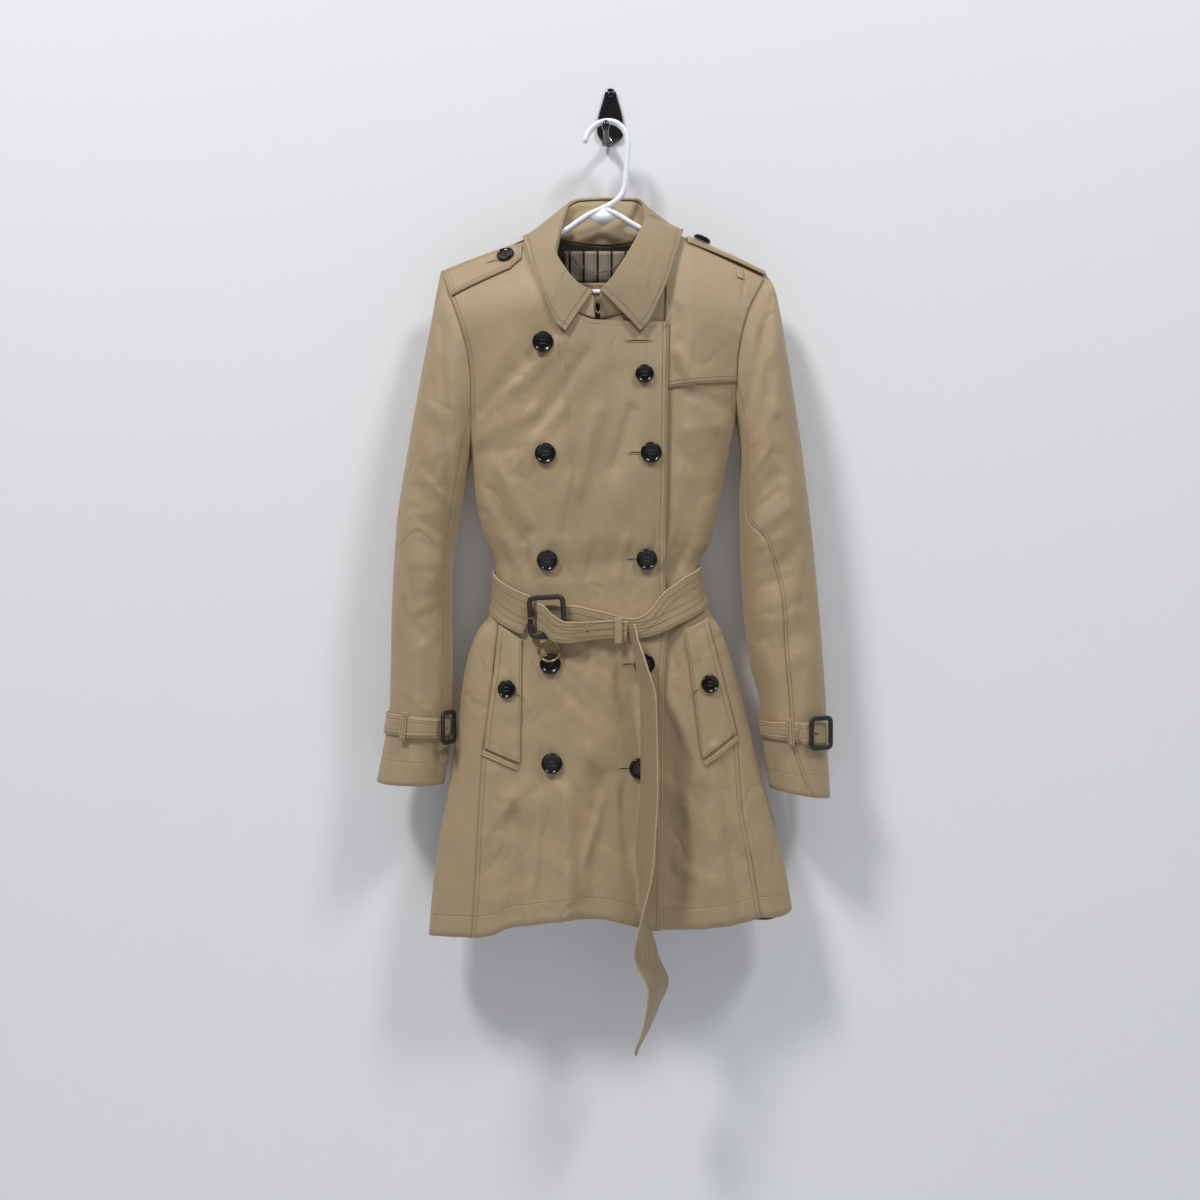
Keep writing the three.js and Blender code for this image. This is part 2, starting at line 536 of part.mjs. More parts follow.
// The stand rises from the neck seam, so it starts from the panels' own edge points.
const seamCorners = [
  ...lapGrid[0].slice(3, 8), ...backGrid[0].slice(7, 14), ...underGrid[0].slice(1, 6).reverse()];
const neckSeam = steps(2 * (seamCorners.length - 1)).map((_, j) => {
  const [a, b] = [seamCorners[Math.floor(j / 2)], seamCorners[Math.ceil(j / 2)]];
  return node(a.p.clone().add(b.p).multiplyScalar(0.5), a.n.clone().add(b.n).normalize());
});
const collarTurns = steps(neckSeam.length - 1, -1, 1);
const faceOfStand = (inset) => steps(3).map((v) => neckSeam.map(({ p, n }, j) => {
  const roll = at3(ROLL, collarTurns[j]);
  const top = roll.clone().addScaledVector(inward(roll), ROLL_TUCK - CLOTH + inset).add(vec(0, 0, -STAND_TUCK));
  const low = p.clone().addScaledVector(n, -inset).addScaledVector(inward(p), SEAM_STEP).add(vec(0, 0, 0.5));
  return low.lerp(top, v);
}));
add('collar_stand', between(faceOfStand(0), faceOfStand(CLOTH)), 'gabardine');

const fallSection = (t) => {
  const [roll, mid, edge] = [at3(ROLL, t), at3(MIDLINE, t), at3(LEAF_EDGE, t)];
  const tuck = roll.clone().addScaledVector(inward(roll), ROLL_TUCK).add(vec(0, 0, 0.5 - STAND_TUCK));
  const curve = new THREE.CatmullRomCurve3([roll, mid, edge], false, 'centripetal');
  return [tuck, ...curve.getPoints(4).map(clearOfBody)];
};
const fallSections = collarTurns.map(fallSection);
const fallPoints = steps(5).map((_, i) => fallSections.map((section) => section[i]));
const leafOut = (p) => {
  const away = inward(p).negate();
  return vec(away.x, away.y, 0.9);
};
const fallCells = withNormals(fallPoints, leafOut);
fallCells[0] = fallCells[0].map(({ p }) => node(p, inward(p)));
add('collar_fall', wall(fallCells, DOUBLE), 'gabardine');

// ---------------------------------------------------------------- sleeves
// Each ring runs from its outer point over the front to the inner point and back behind: theta 0, 0.5, 1, 1.5.
const SLEEVE = {
  left: sections('v outX outZ inX inZ front back', [
    [0, -217, -214, -177, -455, -84, -18], [0.06, -221, -236, -181, -476, -90, -15],
    [0.15, -229, -284, -186, -503, -97, -11], [0.3, -241, -354, -194, -545, -99, -10],
    [0.45, -257, -442, -201, -592, -98, -10], [0.6, -272, -545, -202, -650, -96, -11],
    [0.75, -278, -655, -201, -710, -95, -12], [0.88, -280, -758, -203, -785, -94, -14],
    [0.94, -287, -812, -206, -830, -94, -14], [1, -297, -864, -212, -867, -95, -13],
  ]),
  right: sections('v outX outZ inX inZ front back', [
    [0, 199, -219, 159, -408, -84, -18], [0.06, 208, -234, 163, -428, -89, -15],
    [0.15, 216, -272, 165, -456, -96, -11], [0.3, 228, -350, 163, -505, -98, -10],
    [0.45, 243, -450, 164, -565, -98, -10], [0.6, 256, -560, 168, -645, -96, -11],
    [0.75, 266, -670, 177, -716, -95, -12], [0.85, 272, -755, 190, -768, -94, -14],
    [0.93, 275, -825, 194, -820, -94, -14], [1, 278, -884, 202, -872, -95, -13],
  ]),
};
const SLEEVE_FOLDS = {
  left: [fold(-212, -290, -202, -430, 9, -4), fold(-202, -440, -199, -556, 8, -3.5), fold(-196, -560, -230, -640, 14, 3),
    fold(-262, -520, -236, -600, 16, 2.5)],
  right: [fold(168, -400, 196, -270, 9, -4), fold(188, -436, 184, -560, 12, 3), fold(200, -610, 238, -560, 13, -3),
    fold(214, -690, 218, -770, 12, -2.5)],
};
// Front and back seams of the two-piece sleeve, in theta.
const SLEEVE_SEAMS = {
  left: sections('v front back', [[0, 0.75, 1.25], [0.5, 0.8, 1.3], [1, 0.8, 1.35]]),
  right: sections('v front back', [
    [0, 0.75, 1.25], [0.38, 0.82, 1.3], [0.52, 0.6, 1.3], [0.65, 0.52, 1.35], [0.9, 0.58, 1.35], [1, 0.45, 1.35]]),
};
function armhole(side, theta) {
  const s = theta <= 1 ? theta : 2 - theta;
  const [x, z] = [ARMHOLE[side].x(s), ARMHOLE[side].z(s)];
  return cellAt(theta <= 1 ? frontTurn(x, z) : backTurn(x, z), z);
}
const CAP_FADE = 0.3;           // the armhole's shape fades out over this part of the sleeve
function oval(side, theta, v) {
  const t = SLEEVE[side];
  const [c, s] = [cos(PI * theta), sin(PI * theta)];
  const [outX, outZ, inX, inZ] = [t.outX(v), t.outZ(v), t.inX(v), t.inZ(v)];
  const [front, back] = [t.front(v), t.back(v)];
  const x = (outX + inX) / 2 + (outX - inX) / 2 * c;
  const z = (outZ + inZ) / 2 + (outZ - inZ) / 2 * c;
  return vec(x, (front + back) / 2 + (front - back) / 2 * s, z);
}
function sleeve(side, theta, v) {
  const turn = ((theta % 2) + 2) % 2;
  const p = oval(side, turn, v);
  const fade = (1 - min(1, v / CAP_FADE)) ** 2;
  if (fade > 0) p.addScaledVector(armhole(side, turn).p.sub(oval(side, turn, 0)), fade);
  const facing = sin(PI * turn);
  const bulge = relief(SLEEVE_FOLDS[side], p.x, p.z) * facing * smooth(v, 0, 0.12);
  p.y -= bulge;
  return p;
}
function sleeveCell(side, theta, v) {
  if (v === 0) return armhole(side, ((theta % 2) + 2) % 2);
  const p = sleeve(side, theta, v);
  const n = normalOf((a, b) => sleeve(side, a, b), theta, v, 0.02, 0.01);
  const core = oval(side, 0, v).add(oval(side, 1, v)).multiplyScalar(0.5);
  return node(p, n.dot(p.clone().sub(core)) < 0 ? n.negate() : n);
}
const SLEEVE_ROWS = [0, 0.05, 0.11, 0.18, 0.25, 0.32, 0.39, 0.46, 0.53, 0.6, 0.67, 0.74, 0.81, 0.87, 0.905, 0.94, 1];
function sleevePiece(side, from, to, columns) {
  const cells = SLEEVE_ROWS.map((v) => steps(columns).map((u) => sleeveCell(side, lerp(from(v), to(v), u), v)));
  return wall(trimmed(cells), CLOTH);
}
for (const side of ['left', 'right']) {
  const { front, back } = SLEEVE_SEAMS[side];
  add(`top_sleeve_${side}`, sleevePiece(side, (v) => back(v) - 2, front, 12), 'gabardine');
  add(`under_sleeve_${side}`, sleevePiece(side, front, back, 4), 'gabardine');
}

// ---------------------------------------------------------------- cuff straps, tabs, loops and buckles
const CUFFS = {
  left: { middle: 0.904, sway: 0.011, half: 0.0145, gap: 1.06, tab: [0.36, 0.8], loop: 0.4, loopOver: 2 },
  right: { middle: 0.899, sway: 0.003, half: 0.016, gap: 0.06, tab: [0.52, 0.22], loop: 0.58, loopOver: 1 },
};
function onSleeve(side, thetas, vs, lift, thickness) {
  const cells = vs.map((row) => thetas.map((theta, j) => sleeveCell(side, theta, row(theta, j))));
  return wall(cells, thickness, lift + thickness);
}
const STRAP_LIFT = 1.3;
const STRAP_WALL = 1.6;
const TAB_LIFT = 0.7;
// The strap's height on the cuff: k = -1 along its upper edge, 1 along its lower edge.
const cuffLevel = (side, k) => (theta) => {
  const { middle: centre, sway, half } = CUFFS[side];
  return centre + sway * cos(PI * theta) + k * half;
};
for (const side of ['left', 'right']) {
  const { gap, tab, loop, loopOver } = CUFFS[side];
  add(`cuff_strap_${side}`, onSleeve(
    side, steps(28, gap + 0.02, gap + 1.98), [cuffLevel(side, -1), cuffLevel(side, 1)], STRAP_LIFT, STRAP_WALL), 'gabardine');
  // The strap's free end lies over the strap and comes to a point.
  const tabThetas = steps(8, ...tab);
  const tabEdge = (k) => (theta, j) => cuffLevel(side, j === 0 ? 0.15 + 0.2 * k : k + 0.15)(theta);
  add(`cuff_tab_${side}`, onSleeve(
    side, tabThetas, [tabEdge(-1), tabEdge(1)], STRAP_LIFT + STRAP_WALL + TAB_LIFT, STRAP_WALL), 'gabardine');
  add(`cuff_loop_${side}`, onSleeve(
    side, steps(2, loop - 0.03, loop + 0.03), [cuffLevel(side, -1.4), cuffLevel(side, 1.5)],
    STRAP_LIFT + loopOver * (STRAP_WALL + TAB_LIFT), 1.1), 'gabardine');
}

// A rounded rectangular buckle frame, in its own x-y plane, facing +Z.
function roundedRect(shape, w, h, r) {
  shape.moveTo(-w / 2 + r, -h / 2);
  shape.lineTo(w / 2 - r, -h / 2).absarc(w / 2 - r, -h / 2 + r, r, -PI / 2, 0);
  shape.lineTo(w / 2, h / 2 - r).absarc(w / 2 - r, h / 2 - r, r, 0, PI / 2);
  shape.lineTo(-w / 2 + r, h / 2).absarc(-w / 2 + r, h / 2 - r, r, PI / 2, PI);
  shape.lineTo(-w / 2, -h / 2 + r).absarc(-w / 2 + r, -h / 2 + r, r, PI, 1.5 * PI);
  return shape;
}
function clean(geometry) {
  geometry.deleteAttribute('normal');
  geometry.deleteAttribute('uv');
  return mergeVertices(geometry, 1e-3);
}
function buckleFrame(width, height, bar, depth, corner) {
  const shape = roundedRect(new THREE.Shape(), width, height, corner);
  shape.holes.push(roundedRect(new THREE.Path(), width - 2 * bar, height - 2 * bar, corner * 0.45));
  const bevel = depth * 0.2;
  return clean(new THREE.ExtrudeGeometry(shape, {
    depth: depth - 2 * bevel, bevelEnabled: true, bevelThickness: bevel, bevelSize: bevel, bevelOffset: -bevel,
    bevelSegments: 1, curveSegments: 3,
  }).translate(0, 0, bevel));
}
// Turns +Z to a normal and +Y as near to up as it can.
function facing(normal, roll = 0) {
  const z = normal.clone().normalize();
  const x = vec(0, 0, 1).cross(z).normalize();
  const y = z.clone().cross(x);
  const turn = new THREE.Quaternion().setFromRotationMatrix(new THREE.Matrix4().makeBasis(x, y, z));
  return turn.multiply(new THREE.Quaternion().setFromAxisAngle(vec(0, 0, 1), roll));
}
const prongShape = (length, width) => clean(new THREE.BoxGeometry(length, width, width, 2, 1, 1));

const CUFF_BUCKLE = { width: 36, height: 43, bar: 6, depth: 4.5, corner: 7 };
const cuffBuckleAt = {
  left: { theta: 0.8, normal: vec(0.93, -0.36, 0), lift: 7.2 },
  right: { theta: 0.3, normal: vec(0.5, -0.87, 0), lift: 5.7 },
};
for (const side of ['left', 'right']) {
  const { theta, normal, lift } = cuffBuckleAt[side];
  const { p } = sleeveCell(side, theta, cuffLevel(side, 0)(theta));
  const n = normal.normalize();
  const { width, height, bar, depth, corner } = CUFF_BUCKLE;
  const at = p.clone().addScaledVector(n, lift);
  add(`cuff_buckle_${side}`, buckleFrame(width, height, bar, depth, corner), 'buckle', { at, turn: facing(n) });
  const reach = at.clone().addScaledVector(n, depth + 0.3 + 0.9);
  const sideways = vec(0, 0, 1).cross(n).normalize().multiplyScalar(-width / 2 + bar / 2 + 1);
  add(`cuff_prong_${side}`, prongShape(9, 1.8), 'brass', { at: reach.add(sideways), turn: facing(n) });
}

// ---------------------------------------------------------------- belt
const BELT = sections('w high low', [
  [-4.36, -641, -682], [-4.1, -641, -682], [-3.88, -657, -683], [-3.6, -620, -665], [-3.3, -600, -650],
  [-3, -591, -640], [-2, -591, -638], [-1, -597, -647], [-0.7, -611, -659], [-0.36, -630, -677],
]);
const BELT_LIFT = 1.9;
const beltStart = frontTurn(-96, -650);
const beltEnd = frontTurn(-92, -660) - 4;
const beltCells = grid(steps(2), steps(60, beltStart, beltEnd), (w, v) => {
  const z = lerp(BELT.high(w), BELT.low(w), v);
  const cell = cellAt(w, z);
  // The front-right end of the belt passes under the tongue, so both ends of the strip share the face there.
  return cell;
});
add('belt', wall(beltCells, BELT_WALL, BELT_LIFT + BELT_WALL), 'belt');

// A ribbon along rows of { centre, across }, across being half its width.
function ribbon(rows, thickness, cuts = [-1, 0, 1]) {
  const points = rows.map(({ centre, across }) => cuts.map((k) => centre.clone().addScaledVector(across, k)));
  return wall(withNormals(points), thickness, thickness / 2);
}
// The tongue leaves the buckle over its right bar and runs to the keeper.
const TONGUE = sections('x high low y', [
  [-92, -638, -672, -105], [-84, -640, -673.5, -108.8], [-72, -652, -686, -112.2], [-53, -661, -688, -113],
  [-36, -661, -686, -109.4], [-14, -660, -683, -104.6], [4, -659, -682, -102.8], [21, -661, -687, -103],
]);
const tongueRows = steps(12, -91, 20.4).map((x) => ({
  centre: vec(x, TONGUE.y(x), (TONGUE.high(x) + TONGUE.low(x)) / 2),
  across: vec(0, 0, (TONGUE.high(x) - TONGUE.low(x)) / 2),
}));
add('belt_tongue', ribbon(tongueRows, 2.2), 'belt');

// The tail hangs from the keeper, seen mostly edge on, turns over near the hem and folds at its end.
const TAIL = sections('z x y half turn', [
  [-664, 25, -108.8, 7, 60], [-684, 29, -117.5, 15, 76], [-708, 35, -125.5, 21, 74], [-756, 45, -131, 23, 68],
  [-854, 46, -132, 23.5, 66], [-942, 41, -132, 23.5, 64], [-975, 40, -134, 23.5, 75], [-1006, 37, -134.5, 23.5, 88],
  [-1037, 39, -133, 23.5, 112], [-1066, 42, -128, 23.5, 128], [-1106, 57, -121, 23.5, 124], [-1138, 50, -113, 23, 113],
  [-1166, 41, -110, 20, 108], [-1188, 31, -108, 9, 106], [-1194, 30, -108, 3, 106],
]);
const TAIL_LEVELS = [-664, -676, -690, -708, -730, -770, -812, -854, -900, -942, -970, -990, -1006, -1022, -1038,
  -1056, -1080, -1104, -1120, -1138, -1154, -1170, -1184, -1194];
const tailRows = TAIL_LEVELS.map((z) => {
  const angle = TAIL.turn(z) * PI / 180;
  return { centre: vec(TAIL.x(z), TAIL.y(z), z), across: vec(cos(angle), -sin(angle), 0).multiplyScalar(TAIL.half(z)) };
});
add('belt_tail', ribbon(tailRows, 2.2), 'belt');

// Keeper loop over belt and tongue.
const KEEPER = { x: 9, width: 10, high: -656, low: -689, front: -104.3, back: -106 };
const keeperFace = (y) => [KEEPER.high, KEEPER.low].map((z) => [-1, 1].map((k) => vec(KEEPER.x + k * KEEPER.width / 2, y, z)));
add('belt_keeper', between(keeperFace(KEEPER.front - 1.4), keeperFace(KEEPER.front)), 'belt');

// Belt buckle, its prong, and the D-ring on its tab.
const BUCKLE = { width: 48, height: 54, bar: 6.5, depth: 5, corner: 8, at: vec(-79, -101.8, -655), tilt: 0.05 };
add('belt_buckle', buckleFrame(BUCKLE.width, BUCKLE.height, BUCKLE.bar, BUCKLE.depth, BUCKLE.corner), 'buckle',
  { at: BUCKLE.at, turn: facing(vec(-0.1, -1, 0), BUCKLE.tilt) });
add('belt_prong', prongShape(10, 2.2), 'brass', { at: vec(-98.5, -106.4, -657), turn: facing(vec(-0.1, -1, 0)) });

// A wire ring bent to a D or an oval: a torus whose centre line follows a function of the angle.
function wireRing(radius, tube, sides, segments, line) {
  const ring = clean(new THREE.TorusGeometry(radius, tube, sides, segments));
  const position = ring.attributes.position;
  for (let i = 0; i < position.count; i += 1) {
    const [x, y] = [position.getX(i), position.getY(i)];
    const [reach, angle] = [hypot(x, y), Math.atan2(y, x)];
    const [cx, cy] = line(angle);
    position.setXY(i, cx + (reach - radius) * cos(angle), cy + (reach - radius) * sin(angle));
  }
  return ring;
}
const D_RING = { width: 29, height: 25, wire: 1.5, at: vec(-76, -107.2, -697) };
add('d_ring', wireRing(D_RING.width / 2, D_RING.wire, 6, 20, (a) => {
  const r = D_RING.width / 2 - D_RING.wire;
  return [r * cos(a), a > 0 ? min(r * sin(a), D_RING.height - r - 2) : r * sin(a)];
}), 'brass', { at: D_RING.at, turn: facing(vec(0, -1, 0), -0.1) });
const tabFace = (y) => [-683, -688].map((z) => [-88, -65].map((x) => vec(x, y, z)));
add('d_ring_tab', between(tabFace(-105), tabFace(-103.2)), 'belt');

// ---------------------------------------------------------------- buttons
function buttonShape(radius) {
  const profile = [[0, 0], [radius, 0.8], [radius, 3.2], [radius * 0.86, 4.2], [0, 3.3]];
  return clean(new THREE.LatheGeometry(profile.map(([r, h]) => new THREE.Vector2(r, h)), 14).rotateX(PI / 2));
}
const BUTTON_STAND = 0.4;       // the thread shank holds a button this far off the cloth
// A button sits flat on the highest points of the cloth under its rim.
function buttonSeat(x, z, radius, turn, lift) {
  const { p, n } = cellAt(turn(x, z), z);
  const rises = steps(12, 0, 2 * PI).map((a) => {
    const [rimX, rimZ] = [x + radius * cos(a), z + radius * sin(a)];
    return body(turn(rimX, rimZ), rimZ).sub(p).dot(n);
  });
  return { at: p.clone().addScaledVector(n, lift + max(0, ...rises)), turn: facing(n) };
}
const BUTTONS = [
  ['left_1', -84, -317, BUTTON], ['left_2', -81, -454, BUTTON], ['left_3', -79, -585, BUTTON],
  ['left_4', -75, -714, BUTTON], ['left_5', -73, -836, BUTTON],
  ['right_1', 41, -356, SMALL_BUTTON], ['right_2', 49, -453, BUTTON], ['right_3', 44, -584, BUTTON],
  ['right_4', 41, -714, BUTTON], ['right_5', 35, -842, BUTTON],
];
for (const [name, x, z, radius] of BUTTONS) {
  add(`button_${name}`, buttonShape(radius), 'button', buttonSeat(x, z, radius, frontTurn, BUTTON_STAND));
}
const ON_FLAP = FLAP_LIFT + DOUBLE + BUTTON_STAND;
const ON_STRAP = EPAULETTE.lift + EPAULETTE.thickness + BUTTON_STAND;
for (const [name, x, z, lift] of [
  ['pocket_left', -128, -745, ON_FLAP], ['pocket_right', 121, -739, ON_FLAP], ['epaulette_left', -132, -202, ON_STRAP]]) {
  add(`button_${name}`, buttonShape(SMALL_BUTTON), 'button', buttonSeat(x, z, SMALL_BUTTON, frontTurn, lift));
}
// The right epaulette's button stands on the crest of its arch.
const CREST = { x: 116, slope: -0.43, lift: 4.9 };
add('button_epaulette_right', buttonShape(SMALL_BUTTON), 'button',
  { at: vec(CREST.x, RIDGE_Y + 1, RIDGE.z(CREST.x) + CREST.lift), turn: facing(vec(-CREST.slope, 0, 1)) });

// ---------------------------------------------------------------- neck chain, hook and eye
function tube(points, radius, sides, count) {
  const path = new THREE.CatmullRomCurve3(points.map((p) => vec(...p)), false, 'centripetal');
  const corner = (k) => new THREE.Vector2(radius * cos(2 * PI * k / sides), radius * sin(2 * PI * k / sides));
  const rim = new THREE.Shape(Array.from({ length: sides }, (_, k) => corner(k)));
  return clean(new THREE.ExtrudeGeometry(rim, { steps: count, extrudePath: path, bevelEnabled: false }));
}
const CHAIN = { radius: 1.7, points: [[-55, -188], [-42, -202], [-18, -212], [4, -206], [17, -193]] };
const chainInset = CLOTH + NECK_LIFT + 1 + CHAIN.radius + 0.7;
add('neck_chain', tube(CHAIN.points.map(([x, z]) => {
  const { p, n } = cellAt(backTurn(x, z), z);
  return p.addScaledVector(n, -chainInset).toArray();
}), CHAIN.radius, 6, 12), 'steel');
add('throat_hook', wireRing(4, 0.9, 6, 12, (a) => [4 * cos(a), 9 * sin(a)]), 'steel',
  { at: vec(-16, -103.4, -272), turn: facing(vec(0, -1, 0)) });

// ---------------------------------------------------------------- hanger and wall hook
function solid(geometry) {
  const position = geometry.attributes.position;
  return new wasm.Manifold(new wasm.Mesh({
    numProp: 3, vertProperties: new Float32Array(position.array), triVerts: new Uint32Array(geometry.index.array) }));
}
function joined(parts) {
  const body3 = parts.map(solid).reduce((a, b) => a.add(b));
  const mesh = body3.getMesh();
  const geometry = new THREE.BufferGeometry();
  geometry.setAttribute('position', new THREE.BufferAttribute(mesh.vertProperties.slice(), 3));
  geometry.setIndex(new THREE.BufferAttribute(mesh.triVerts.slice(), 1));
  return geometry;
}
const HOOK_Y = -42;
const ARM_Y = -46.5;
const leftHalf = [
  [-33, HOOK_Y, -48], [-29, HOOK_Y, -37.5], [-21, HOOK_Y, -28], [-11, HOOK_Y, -23], [1, HOOK_Y, -22.3], [10, HOOK_Y, -26],
  [18, HOOK_Y, -35], [21.5, HOOK_Y, -48], [21, HOOK_Y, -66], [19.5, HOOK_Y, -90], [17, HOOK_Y, -109], [12, HOOK_Y, -119],
  [2, -43, -127.5], [-13, -44.5, -135.5], [-29, -46, -143.5], [-56, ARM_Y, -162], [-80, ARM_Y, -176.3], [-102, ARM_Y, -184.5],
  [-150, ARM_Y, -200.5], [-184, ARM_Y, -215], [-196, ARM_Y, -221], [-201, ARM_Y, -230], [-196, ARM_Y, -238],
  [-180, ARM_Y, -241], [-90, ARM_Y, -242], [-8, ARM_Y, -242],
];
const rightHalf = [
  [-14, ARM_Y, -242], [80, ARM_Y, -242], [166, ARM_Y, -242], [180, ARM_Y, -240], [186, ARM_Y, -233], [182, ARM_Y, -226],
  [170, ARM_Y, -219], [140, ARM_Y, -203.5], [92, ARM_Y, -184], [66, ARM_Y, -174.3], [32, ARM_Y, -157.5],
  [9, -46, -143.5], [-6, -45, -136.5],
];
const GUSSET = { halfWidth: 19, top: -134, wide: -145, low: -157, x: -10, thickness: 3 };
const diamond = new THREE.Shape([
  new THREE.Vector2(0, GUSSET.top), new THREE.Vector2(-GUSSET.halfWidth, GUSSET.wide),
  new THREE.Vector2(0, GUSSET.low), new THREE.Vector2(GUSSET.halfWidth, GUSSET.wide)]);
const gusset = clean(new THREE.ExtrudeGeometry(diamond, { depth: GUSSET.thickness, bevelEnabled: false })
  .rotateX(PI / 2).translate(GUSSET.x, ARM_Y + GUSSET.thickness / 2, 0));
add('hanger', joined([tube(leftHalf, HANGER_TUBE, 8, 50), tube(rightHalf, HANGER_TUBE, 8, 26), gusset]), 'hanger');

// The plate is a teardrop, screwed flat to the wall; its prong rises in front of the hanger's wire.
const PLATE = { halfWidth: 18.5, halfHeight: 36, thickness: 4.6, lobe: -18, tip: 8 };
const plateShape = new THREE.Shape();
plateShape.absarc(0, PLATE.lobe, PLATE.halfWidth, PI * 1.08, -0.08 * PI);
plateShape.bezierCurveTo(PLATE.halfWidth - 1, 2, PLATE.tip + 1, 20, PLATE.tip, PLATE.halfHeight - PLATE.tip);
plateShape.absarc(0, PLATE.halfHeight - PLATE.tip, PLATE.tip, 0, PI);
plateShape.bezierCurveTo(-PLATE.tip - 1, 20, -PLATE.halfWidth + 1, 2, -PLATE.halfWidth + 0.6, PLATE.lobe + 4);
const plate = clean(new THREE.ExtrudeGeometry(plateShape, {
  depth: PLATE.thickness - 1.5, bevelEnabled: true, bevelThickness: 1.5, bevelSize: 1.5, bevelOffset: -1.5,
  bevelSegments: 1, curveSegments: 8,
}).rotateX(PI / 2));
const backCut = clean(new THREE.BoxGeometry(80, 20, 120).translate(0, 10, 0));
const PRONG = [[-4, -2, -34], [-4.5, -14, -36], [-5.5, -28, -34], [-6, -40, -30.9], [-6.5, -50, -31]];
const knob = clean(new THREE.SphereGeometry(1, 10, 8).scale(5.4, 5, 8.2).translate(-6.5, -52.5, -31.7));
const rib = clean(new THREE.CylinderGeometry(1.2, 9, 12, 6).rotateX(PI / 2).scale(1, 1, 1.1).translate(-3.5, -8, -33.5));
const casting = joined([plate, tube(PRONG, 4.2, 8, 10), knob, rib]);
const trimmedCasting = solid(casting).subtract(solid(backCut)).getMesh();
const hookGeometry = new THREE.BufferGeometry();
hookGeometry.setAttribute('position', new THREE.BufferAttribute(trimmedCasting.vertProperties.slice(), 3));
hookGeometry.setIndex(new THREE.BufferAttribute(trimmedCasting.triVerts.slice(), 1));
add('wall_hook', hookGeometry, 'hook');
const screwHead = [[0, 0], [4.4, 0], [4, 1.3], [2.4, 2], [0, 2.1]].map(([r, h]) => new THREE.Vector2(r, h));
add('hook_screw', clean(new THREE.LatheGeometry(screwHead, 12)), 'hook',
  { at: vec(0.5, -PLATE.thickness - 0.3, 27), turn: new THREE.Quaternion().setFromAxisAngle(vec(1, 0, 0), PI) });

export default coat;
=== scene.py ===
# %% [markdown]
# # A belted trench coat on a wall hook
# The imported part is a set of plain, faceted solids in metres, with the wall at y = 0 and the coat in front of it.
# Here every solid is dressed: cloth is rebuilt on the same section tables with a much finer grid, creases,
# turned edges and stitches, and the hard pieces are rebuilt smooth. The solids stay as the collision shapes.

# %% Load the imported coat
import math
import bpy
import numpy as np
from mathutils import Matrix, Vector


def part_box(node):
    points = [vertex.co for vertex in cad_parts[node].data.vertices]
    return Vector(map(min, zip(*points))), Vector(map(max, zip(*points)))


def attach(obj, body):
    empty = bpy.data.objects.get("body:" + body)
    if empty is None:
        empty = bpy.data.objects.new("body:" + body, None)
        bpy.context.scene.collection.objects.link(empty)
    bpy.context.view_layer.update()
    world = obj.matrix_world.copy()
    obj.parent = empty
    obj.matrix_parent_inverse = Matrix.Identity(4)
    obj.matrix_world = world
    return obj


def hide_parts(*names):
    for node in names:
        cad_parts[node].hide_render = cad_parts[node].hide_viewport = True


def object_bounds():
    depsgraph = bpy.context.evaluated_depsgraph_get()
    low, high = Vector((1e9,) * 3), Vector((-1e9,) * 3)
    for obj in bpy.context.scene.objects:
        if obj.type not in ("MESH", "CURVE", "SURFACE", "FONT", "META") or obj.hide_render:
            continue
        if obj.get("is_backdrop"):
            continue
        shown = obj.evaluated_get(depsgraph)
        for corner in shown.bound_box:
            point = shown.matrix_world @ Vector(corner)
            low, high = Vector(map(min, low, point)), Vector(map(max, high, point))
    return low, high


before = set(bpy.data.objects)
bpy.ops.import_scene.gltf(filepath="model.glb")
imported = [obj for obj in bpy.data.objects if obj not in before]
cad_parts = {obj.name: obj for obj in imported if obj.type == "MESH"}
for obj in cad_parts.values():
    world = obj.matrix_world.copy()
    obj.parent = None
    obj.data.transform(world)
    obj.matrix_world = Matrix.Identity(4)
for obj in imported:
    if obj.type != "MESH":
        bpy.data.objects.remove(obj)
CAD_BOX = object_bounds()
MM = 0.001
print("solids in the packed coat:", len(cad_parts))

# %% [markdown]
# ## Camera, wall and light
# The coat hangs flat against a pale wall and is seen straight on from 1.7 m, at about half its height. The wall is
# a single plane that can be seen only from the front, so the back of the coat can be looked at too. Two soft lights
# hang high on the left and right, so folds are shaded from above, and a broad weak one fills in from the room.
# The wall casts no shadow, so the light behind it reaches the back of the coat. A whole room could be built, but
# two planes are enough to catch the shadows.

# %% Camera, wall, floor and lights
scene = bpy.context.scene


def keep(obj):
    scene.collection.objects.link(obj)
    return obj


SENSOR_WIDTH = 36
LENGTH_TO_WIDTH = 1280 / 1200
CAMERA_AT = (-0.0138, -1.680, -0.6346)
lens = bpy.data.cameras.new("studio_camera")
lens.sensor_width = SENSOR_WIDTH
lens.lens = SENSOR_WIDTH * LENGTH_TO_WIDTH
camera = keep(bpy.data.objects.new("studio_camera", lens))
camera.location = CAMERA_AT
camera.rotation_euler = (math.pi / 2, 0, 0)
scene.camera = camera


def area_light(name, place, target, size, watts, colour):
    data = bpy.data.lights.new(name, "AREA")
    data.shape = "RECTANGLE"
    data.size, data.size_y = size
    data.energy = watts
    data.color = colour
    light = keep(bpy.data.objects.new(name, data))
    light.location = place
    light.rotation_euler = (Vector(target) - Vector(place)).to_track_quat("-Z", "Y").to_euler()


